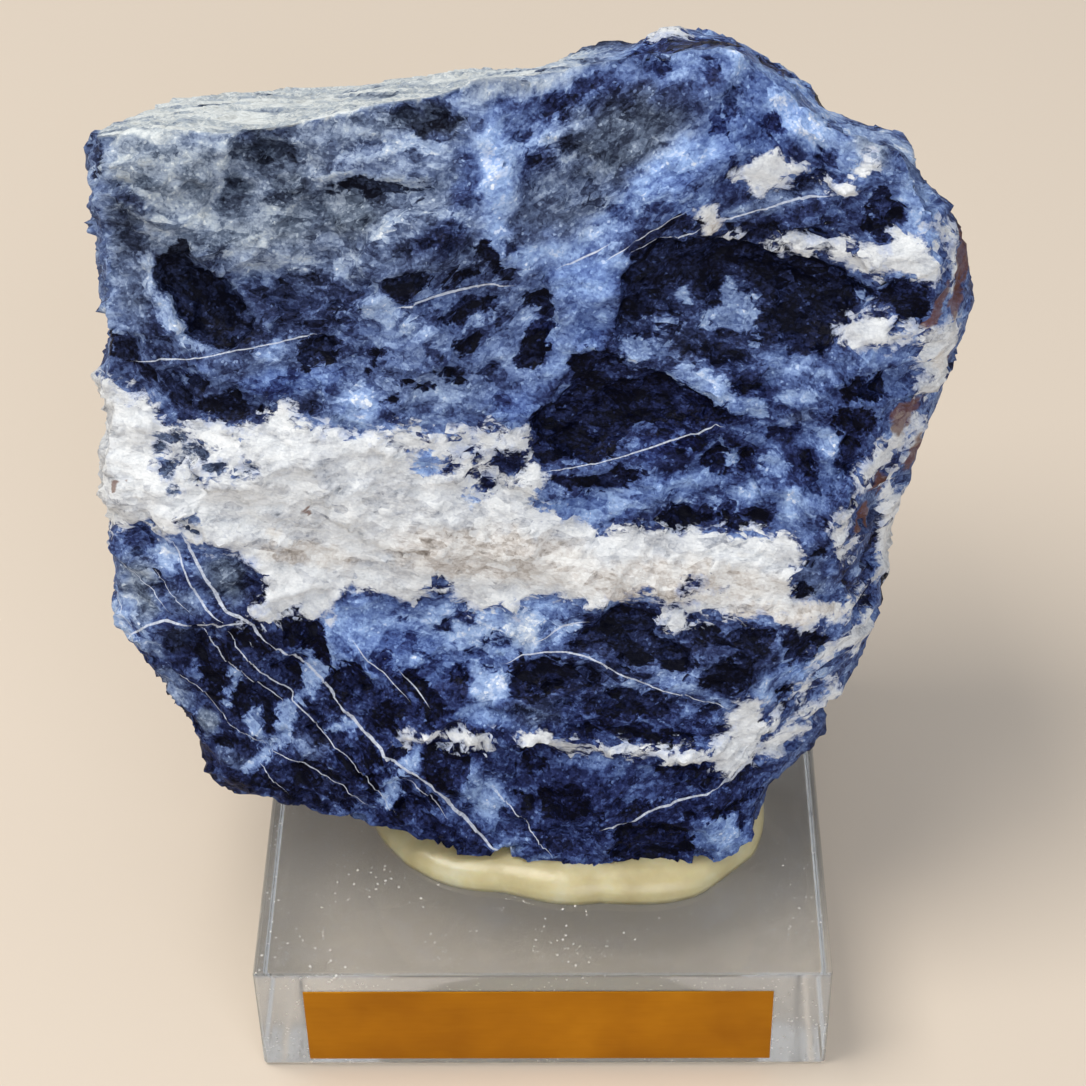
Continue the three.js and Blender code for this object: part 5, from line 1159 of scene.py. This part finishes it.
def rock_tone(tree, tone, bodies, shift, edge, painted_glint_grains):
    """The tone of the blue: grains and streaks shift it, the bodies draw it to their own tone, and a few grains
    are painted paler as painted glints."""
    tone = node(tree, "Math", {0: tone, 1: shift}, operation="ADD")
    ragged_edge = node(tree, "Math", {0: edge, 1: 0.6, 2: 0.1}, operation="MULTIPLY_ADD")
    # a body's tone, how far grains shift it, the softness of its edge in mm and how fully it covers
    looks = {
        "navy": (0.16, 1.1, 0.12, 0.85),
        "black": (0.045, 1.1, 0.08, 1.0),
        "pale": (0.74, 1.0, 0.16, 0.8),
    }
    for name, (middle, spread, soft, cover) in looks.items():
        own = node(tree, "Math", {0: shift, 1: spread, 2: middle}, operation="MULTIPLY_ADD")
        depth = node(tree, "Math", {0: bodies[name], 1: ragged_edge}, operation="ADD")
        share = node(tree, "MapRange", {0: depth, 1: -soft, 2: soft, 4: cover})
        tone = node(tree, "Mix", {0: share, 2: tone, 3: own})
    # painted highlight: a few grains are painted paler as glints
    speck = node(tree, "Math", {0: painted_glint_grains, 1: 0.95}, operation="GREATER_THAN")
    return node(tree, "Math", {0: speck, 1: 0.14, 2: tone}, operation="MULTIPLY_ADD")


def rock_colour(tree, tone, grey):
    """Deep blue sodalite, or the grey of its weathered skin."""
    blue = node(tree, "ValToRGB", {0: tone}, stops=[
        (0.0, "#020312"), (0.14, "#0c1134"), (0.28, "#252f5e"), (0.42, "#465b91"), (0.58, "#6c85b8"),
        (0.76, "#93afdc"), (0.9, "#bfcde7"), (1.0, "#e4eaf2")])
    weathered = node(tree, "ValToRGB", {0: tone}, stops=[
        (0.0, "#0b0d19"), (0.25, "#323a4b"), (0.45, "#5d697b"), (0.62, "#8d98a8"), (0.8, "#adb6bd"),
        (1.0, "#d5dada")])
    return node(tree, "Mix", {0: grey, 6: blue, 7: weathered}, out=2, data_type="RGBA")


def veined(tree, body, veins, lumps, glint):
    """Thin pale veins over a colour, each on a whole number of its family, that swell and fade a little."""
    swell = node(tree, "MapRange", {0: lumps, 1: 0.36, 2: 0.64, 3: 0.4, 4: 0.78})
    for place, width in veins:
        whole = node(tree, "Math", {0: place}, operation="ROUND")
        away = node(tree, "Math", {0: place, 1: whole}, operation="SUBTRACT")
        away = node(tree, "Math", {0: away}, operation="ABSOLUTE")
        reach = node(tree, "Math", {0: width, 1: swell}, operation="MULTIPLY")
        outer = node(tree, "Math", {0: reach, 1: 1.35}, operation="MULTIPLY")
        cover = node(tree, "MapRange", {0: glint, 3: 0.6, 4: 0.95})
        on_vein = node(tree, "MapRange", {0: away, 1: outer, 2: reach, 4: cover})
        body = node(tree, "Mix", {0: on_vein, 6: body, 7: colour("#ccd3e0")}, out=2, data_type="RGBA")
    return body


def grain_normal(tree, block, streak, glint):
    """Every grain's own cleavage face leans a little, over fine steps along the streaks."""
    lean = node(tree, "VectorMath", {0: block, 1: (0.5, 0.5, 0.5)}, operation="SUBTRACT")
    lean = node(tree, "VectorMath", {0: lean, "Scale": 0.7}, operation="SCALE")
    straight = node(tree, "NewGeometry", out="Normal")
    leaning = node(tree, "VectorMath", {0: straight, 1: lean}, operation="ADD")
    leaning = node(tree, "VectorMath", {0: leaning}, operation="NORMALIZE")
    bumps = node(tree, "Math", {0: streak, 1: 1.4, 2: glint}, operation="MULTIPLY_ADD")
    depth = bpy.context.scene.sodalite_stone.bump_depth
    return node(tree, "Bump", {"Strength": 0.9, "Distance": depth, "Height": bumps, "Normal": leaning})


def sodalite_material():
    """Rough broken sodalite: deep blue glassy grains, granular white feldspar that scatters the light, and a
    dull grey weathered skin."""
    grain_size = bpy.context.scene.sodalite_stone.grain_size
    material, tree = start_material("rough_sodalite")
    here = node(tree, "TexCoord", out="Object")
    bodies = dict(zip(("black", "navy", "pale", "white"), read_channels(tree, "bodies")))
    tone, grey, warm, rust = read_channels(tree, "skin")
    first, first_width, second, second_width = read_channels(tree, "veins")
    third, third_width, steep, rising = read_channels(tree, "more_veins")
    veins = ((first, first_width), (second, second_width), (third, third_width))

    # ragged noise, soft lumps, streaks, crystal blocks and fine grains
    ragged = node(tree, "TexNoise", {
        "Vector": here, "Scale": 1 / (1.1 * MM), "Detail": 5.0, "Roughness": 0.68})
    lumps = node(tree, "TexNoise", {"Vector": here, "Scale": 1 / (4 * MM), "Detail": 3.0})
    streak, block = flow_patterns(tree, here, steep, rising)
    roll = node(tree, "SeparateColor", {0: block}).node.outputs
    fine = node(tree, "TexVoronoi", {"Vector": here, "Scale": 2.4 / grain_size}, out="Color")
    fine_roll = node(tree, "SeparateColor", {0: fine}).node.outputs

    # sums of patterns: the ragged edge of a body, the shift of the blue and the grain of the white
    mixed = {}
    for name, start, terms in (
            ("edge", -1.4, ((ragged, 0.8), (streak, 0.5), (roll[0], 1.5))),
            ("shift", -0.63, ((roll[1], 0.42), (fine_roll[0], 0.16), (ragged, 0.35), (streak, 0.35))),
            ("grain", -0.28, ((fine_roll[1], 0.2), (roll[2], 0.65), (ragged, 0.3), (lumps, 0.6)))):
        total = start
        for pattern, weight in terms:
            total = node(tree, "Math", {0: pattern, 1: weight, 2: total}, operation="MULTIPLY_ADD")
        mixed[name] = total

    # the last fine number places the painted glints on a few grains
    tone = rock_tone(tree, tone, bodies, mixed["shift"], mixed["edge"], fine_roll[2])
    body = rock_colour(tree, tone, grey)
    depth = node(tree, "Math", {0: bodies["white"], 1: mixed["edge"]}, operation="ADD")
    is_white = node(tree, "MapRange", {0: depth, 1: -0.16, 2: 0.16})
    feldspar = feldspar_colour(tree, bodies["white"], warm, streak, ragged, mixed["grain"])
    body = node(tree, "Mix", {0: is_white, 6: body, 7: feldspar}, out=2, data_type="RGBA")
    stain = node(tree, "Math", {0: rust, 1: ragged}, operation="MULTIPLY")
    stain = node(tree, "MapRange", {0: stain, 1: 0.2, 2: 0.36, 4: 0.75})
    body = node(tree, "Mix", {0: stain, 6: body, 7: colour("#6a452f")}, out=2, data_type="RGBA")
    body = veined(tree, body, veins, lumps, fine_roll[0])

    # dark grains are glassy, white grains dull and weathered skin dullest
    gloss = node(tree, "MapRange", {0: tone, 2: 0.8, 3: 0.3, 4: 0.55})
    gloss = node(tree, "Mix", {0: grey, 2: gloss, 3: 0.7})
    gloss = node(tree, "Mix", {0: is_white, 2: gloss, 3: 0.55})
    shader = node(tree, "BsdfPrincipled", {
        "Base Color": body, "Roughness": gloss, "IOR": 1.483, "Specular IOR Level": 0.06,
        "Normal": grain_normal(tree, block, streak, fine_roll[2])})
    node(tree, "OutputMaterial", {0: shader})
    return material


# ---------------------------------------------------------------- glue, block and strip

# Outline of the glue on the block, in mm, from the left end along the front and back round, and its middle.
GLUE_OUTLINE = [
    (-12.0, -5.5), (-9.4, -9.6), (-3.0, -12.3), (3.8, -13.1), (10.4, -12.3), (14.7, -8.9), (15.3, -2.0),
    (14.2, 5.5), (9.0, 11.6), (0.5, 12.7), (-7.5, 11.0), (-12.0, 4.0),
]
GLUE_MIDDLE = (1.5, 0.0)
GLUE_SEGMENTS = 144

# The glue keeps this share of its outline, within its solid, and its foot is sunk in the block by this, in
# mm.
GLUE_SHARE = 0.985
GLUE_SUNK = 0.02

# Shares of the way out to the rim and of the height, from the block up to the stone.
GLUE_PROFILE = [(1.0, 0.22), (0.985, 0.5), (0.95, 0.78), (0.89, 0.94), (0.8, 1.0), (0.5, 1.0)]

STRIP_GAP = 0.02 * MM
STRIP_EDGE = 0.03 * MM


def glue_reach(angle):
    """Distance of the glue's wavy rim from the middle of its outline, in mm, at an angle."""
    corners = [Vector(corner) - Vector(GLUE_MIDDLE) for corner in GLUE_OUTLINE]
    angles = np.array([math.atan2(corner.y, corner.x) for corner in corners])
    lengths = np.array([corner.length for corner in corners])
    order = np.argsort(angles)
    wave = 1 + 0.012 * math.sin(5 * angle + 1) + 0.008 * math.sin(11 * angle)
    return GLUE_SHARE * wave * np.interp(angle, angles[order], lengths[order], period=2 * math.pi)


def glue_place(angle, out, height):
    """Place at an angle, a share of the way out to the glue's rim and a height."""
    reach = out * glue_reach(angle) * MM
    return Vector((GLUE_MIDDLE[0] * MM + reach * math.cos(angle), reach * math.sin(angle), height))


def glue_bmesh():
    """A rounded puddle with a soft rim that climbs the foot of the stone."""
    full_height = bpy.context.scene.sodalite_glue.height
    block_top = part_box("acrylic_block")[1][2]
    bm = bmesh.new()
    bmesh.ops.create_circle(bm, segments=GLUE_SEGMENTS, radius=1.0, cap_ends=True)
    ring = list(bm.edges)
    for vert in bm.verts:
        angle = math.atan2(vert.co.y, vert.co.x)
        vert.co = glue_place(angle, 1.0, block_top - GLUE_SUNK * MM)
    for out, up in GLUE_PROFILE:
        grown = bmesh.ops.extrude_edge_only(bm, edges=ring)["geom"]
        ring = [item for item in grown if isinstance(item, bmesh.types.BMEdge)]
        for vert in (item for item in grown if isinstance(item, bmesh.types.BMVert)):
            angle = math.atan2(vert.co.y, vert.co.x - GLUE_MIDDLE[0] * MM)
            sag = 1 - 0.16 * (0.5 + 0.5 * math.sin(3 * angle + 2))
            vert.co = glue_place(angle, out, block_top + up * full_height * sag)
    bmesh.ops.contextual_create(bm, geom=ring)
    bmesh.ops.recalc_face_normals(bm, faces=bm.faces)
    for face in bm.faces:
        face.smooth = len(face.verts) == 4
    return bm


def glue_material():
    """Set epoxy glue: yellowed, cloudy and glossy, so the light glows in its edge."""
    material, tree = start_material("yellowed_epoxy")
    here = node(tree, "TexCoord", out="Object")
    cloud = node(tree, "TexNoise", {"Vector": here, "Scale": 1 / (2.5 * MM), "Detail": 4.0})
    tint = node(tree, "ValToRGB", {0: cloud}, stops=[(0.3, "#d6c692"), (0.55, "#ecdfad"), (0.75, "#f6efcd")])
    dirt = node(tree, "TexNoise", {"Vector": here, "Scale": 1 / (0.5 * MM), "Detail": 5.0})
    normal = node(tree, "Bump", {"Strength": 0.25, "Distance": 0.1 * MM, "Height": dirt})
    shader = node(tree, "BsdfPrincipled", {
        "Base Color": tint, "Roughness": 0.3, "IOR": 1.55, "Transmission Weight": 0.45, "Normal": normal,
        "Subsurface Weight": 0.5, "Subsurface Radius": (1.0, 0.8, 0.45), "Subsurface Scale": 1.0 * MM})
    node(tree, "OutputMaterial", {0: shader})
    return material


def block_bmesh():
    """The square block, with its edges broken by a fine polished round."""
    low, high = (Vector(corner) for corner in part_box("acrylic_block"))
    return box_bmesh(low, high, bpy.context.scene.sodalite_block.edge_break, segments=3)


def acrylic_material():
    """Cast acrylic: clear as glass, a little milky on the sawn and polished sides, with dust and fine scuffs
    that catch the light."""
    material, tree = start_material("cast_acrylic")
    here = node(tree, "TexCoord", out="Object")
    speck = node(tree, "TexVoronoi", {"Vector": here, "Scale": 1 / (0.5 * MM)}, out="Distance")
    scatter = node(tree, "TexNoise", {"Vector": here, "Scale": 1 / (6 * MM), "Detail": 3.0})
    size = node(tree, "MapRange", {0: scatter, 1: 0.35, 2: 0.65, 3: 0.03, 4: 0.18})
    dust = node(tree, "Math", {0: speck, 1: size}, operation="LESS_THAN")
    haze = node(tree, "TexNoise", {"Vector": here, "Scale": 1 / (3 * MM), "Detail": 6.0, "Roughness": 0.7})
    rough = node(tree, "MapRange", {0: haze, 1: 0.35, 2: 0.75, 3: 0.02, 4: 0.12})
    upright = node(tree, "SeparateXYZ", {0: node(tree, "NewGeometry", out="Normal")}, out="Z")
    upright = node(tree, "Math", {0: upright}, operation="ABSOLUTE")
    sawn = node(tree, "MapRange", {0: upright, 1: 0.5, 2: 0.1, 3: 0.92, 4: 0.8})
    clear = node(tree, "Mix", {0: dust, 2: sawn, 3: 0.3})
    tint = node(tree, "Mix", {0: dust, 6: colour("#f6f7f6"), 7: colour("#ece8e2")}, out=2, data_type="RGBA")
    shader = node(tree, "BsdfPrincipled", {
        "Base Color": tint, "Roughness": rough, "IOR": 1.49, "Transmission Weight": clear})
    node(tree, "OutputMaterial", {0: shader})
    return material


def label_bmesh():
    """The foil strip, a hair in front of the block's face."""
    low, high = (Vector(corner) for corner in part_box("label"))
    high.y -= STRIP_GAP
    low.y = high.y - bpy.context.scene.sodalite_label.thickness
    return box_bmesh(low, high, STRIP_EDGE, segments=2)


def foil_material():
    """Gold foil tape: a satin metal film over a stiff backing, with fine rolling lines."""
    material, tree = start_material("gold_foil_tape")
    here = node(tree, "TexCoord", out="Object")
    rolled = node(tree, "Mapping", {0: here, "Scale": (0.12, 1, 1)})
    lines = node(tree, "TexNoise", {"Vector": rolled, "Scale": 1 / (0.25 * MM), "Detail": 3.0})
    cloud = node(tree, "TexNoise", {"Vector": here, "Scale": 1 / (5 * MM), "Detail": 3.0})
    tint = node(tree, "ValToRGB", {0: cloud}, stops=[(0.3, "#a86c04"), (0.6, "#b97b08"), (0.8, "#c68812")])
    rough = node(tree, "MapRange", {0: lines, 1: 0.3, 2: 0.7, 3: 0.36, 4: 0.5})
    normal = node(tree, "Bump", {"Strength": 0.15, "Distance": 0.02 * MM, "Height": lines})
    shader = node(tree, "BsdfPrincipled", {
        "Base Color": tint, "Roughness": rough, "Metallic": 0.9, "Normal": normal})
    node(tree, "OutputMaterial", {0: shader})
    return material


# ---------------------------------------------------------------- floor, light and camera

CAMERA_PLACE = (3.3, -132.7, 148.6)
CAMERA_DOWN_DEGREES = 41.7
CAMERA_LEFT_DEGREES = 1.34
CAMERA_ROLL_DEGREES = -1.17
LENS = 90
SENSOR = 36
CAMERA_NEAR = 0.01

# Lights and floor, in metres.
LIGHT_TARGET = (0, 0, 0.03)
KEY_PLACE, KEY_SIZE = (-0.22, -0.02, 0.5), 0.3
FILL_PLACE, FILL_SIZE = (0.14, -0.5, 0.32), 0.4
FLOOR_SIZE = 1.2
FLOOR_DROP = 0.05 * MM
ROOM_LIGHT = 0.58


def add_camera():
    """A long lens that looks down on the front of the stone."""
    data = bpy.data.cameras.new("camera")
    data.lens = LENS
    data.sensor_width = SENSOR
    data.clip_start = CAMERA_NEAR
    camera = bpy.data.objects.new("camera", data)
    bpy.context.scene.collection.objects.link(camera)
    turned = Matrix.Rotation(math.radians(CAMERA_LEFT_DEGREES), 4, "Z")
    tipped = Matrix.Rotation(math.radians(90 - CAMERA_DOWN_DEGREES), 4, "X")
    rolled = Matrix.Rotation(math.radians(CAMERA_ROLL_DEGREES), 4, "Z")
    camera.matrix_world = Matrix.Translation(Vector(CAMERA_PLACE) * MM) @ turned @ tipped @ rolled
    bpy.context.scene.camera = camera


def add_softbox(name, place, size, power, hex_code):
    """A square area light that faces the stone."""
    data = bpy.data.lights.new(name, "AREA")
    data.shape = "SQUARE"
    data.size = size
    data.energy = power
    data.color = colour(hex_code)[:3]
    light = bpy.data.objects.new(name, data)
    bpy.context.scene.collection.objects.link(light)
    way = Vector(LIGHT_TARGET) - Vector(place)
    light.matrix_world = Matrix.Translation(place) @ way.to_track_quat("-Z", "Y").to_matrix().to_4x4()


def add_floor():
    """A plain pale floor."""
    settings = bpy.context.scene.sodalite_stage
    bm = bmesh.new()
    bmesh.ops.create_grid(bm, x_segments=1, y_segments=1, size=FLOOR_SIZE)
    bmesh.ops.translate(bm, verts=bm.verts, vec=(0, 0, -FLOOR_DROP))
    mesh = bpy.data.meshes.new("floor")
    bm.to_mesh(mesh)
    bm.free()
    floor = bpy.data.objects.new("floor", mesh)
    bpy.context.scene.collection.objects.link(floor)
    material, tree = start_material("pale_floor")
    shader = node(tree, "BsdfPrincipled", {"Base Color": (*settings.floor_colour, 1), "Roughness": 0.7})
    node(tree, "OutputMaterial", {0: shader})
    mesh.materials.append(material)


def set_world():
    """Even, dim light from all round."""
    world = bpy.data.worlds.new("room")
    world.use_nodes = True
    bpy.context.scene.world = world
    backdrop = world.node_tree.nodes["Background"]
    backdrop.inputs["Color"].default_value = colour("#e9edf3")
    backdrop.inputs["Strength"].default_value = ROOM_LIGHT


# ---------------------------------------------------------------- operators and panel

class SODALITE_OT_stone(bpy.types.Operator):
    """Make the stone, with its relief and minerals"""
    bl_idname = "sodalite.stone"
    bl_label = "Stone"

    def execute(self, context):
        dress(make_stone(), sodalite_material(), "sodalite")
        return {"FINISHED"}


class SODALITE_OT_glue(bpy.types.Operator):
    """Make the puddle of set glue under the stone"""
    bl_idname = "sodalite.glue"
    bl_label = "Glue"

    def execute(self, context):
        add_piece("glue_puddle", glue_bmesh(), glue_material(), "adhesive_bead")
        return {"FINISHED"}


class SODALITE_OT_block(bpy.types.Operator):
    """Make the clear display block"""
    bl_idname = "sodalite.block"
    bl_label = "Block"

    def execute(self, context):
        add_piece("clear_block", block_bmesh(), acrylic_material(), "acrylic_block")
        return {"FINISHED"}


class SODALITE_OT_label(bpy.types.Operator):
    """Make the gold foil strip on the front of the block"""
    bl_idname = "sodalite.label"
    bl_label = "Foil strip"

    def execute(self, context):
        add_piece("foil_strip", label_bmesh(), foil_material(), "label")
        return {"FINISHED"}


class SODALITE_OT_stage(bpy.types.Operator):
    """Make the floor, the lights and the camera"""
    bl_idname = "sodalite.stage"
    bl_label = "Stage"

    def execute(self, context):
        settings = context.scene.sodalite_stage
        add_floor()
        add_softbox("key", KEY_PLACE, KEY_SIZE, settings.key_power, "#fffaf2")
        add_softbox("fill", FILL_PLACE, FILL_SIZE, settings.fill_power, "#f4f7ff")
        set_world()
        add_camera()
        context.scene.view_settings.view_transform = "Standard"
        return {"FINISHED"}


class SODALITE_PT_display(bpy.types.Panel):
    """The pieces of the display and their settings"""
    bl_idname = "SODALITE_PT_display"
    bl_label = "Sodalite display"
    bl_space_type = "VIEW_3D"
    bl_region_type = "UI"
    bl_category = "Sodalite"

    def draw(self, context):
        for operator, settings in PIECES:
            box = self.layout.box()
            box.operator(operator.bl_idname)
            group = getattr(context.scene, settings)
            for name in group.__annotations__:
                box.prop(group, name)


SETTINGS = {
    "sodalite_stone": StoneSettings,
    "sodalite_glue": GlueSettings,
    "sodalite_block": BlockSettings,
    "sodalite_label": LabelSettings,
    "sodalite_stage": StageSettings,
}
PIECES = [
    (SODALITE_OT_stone, "sodalite_stone"),
    (SODALITE_OT_glue, "sodalite_glue"),
    (SODALITE_OT_block, "sodalite_block"),
    (SODALITE_OT_label, "sodalite_label"),
    (SODALITE_OT_stage, "sodalite_stage"),
]
CLASSES = [*SETTINGS.values(), *(operator for operator, _ in PIECES), SODALITE_PT_display]


def register():
    for cls in CLASSES:
        bpy.utils.register_class(cls)
    for name, group in SETTINGS.items():
        setattr(bpy.types.Scene, name, PointerProperty(type=group))


def unregister():
    for name in SETTINGS:
        delattr(bpy.types.Scene, name)
    for cls in reversed(CLASSES):
        bpy.utils.unregister_class(cls)


def main():
    register()
    bpy.ops.sodalite.stone()
    bpy.ops.sodalite.glue()
    bpy.ops.sodalite.block()
    bpy.ops.sodalite.label()
    bpy.ops.sodalite.stage()


if __name__ == "__main__":
    main()
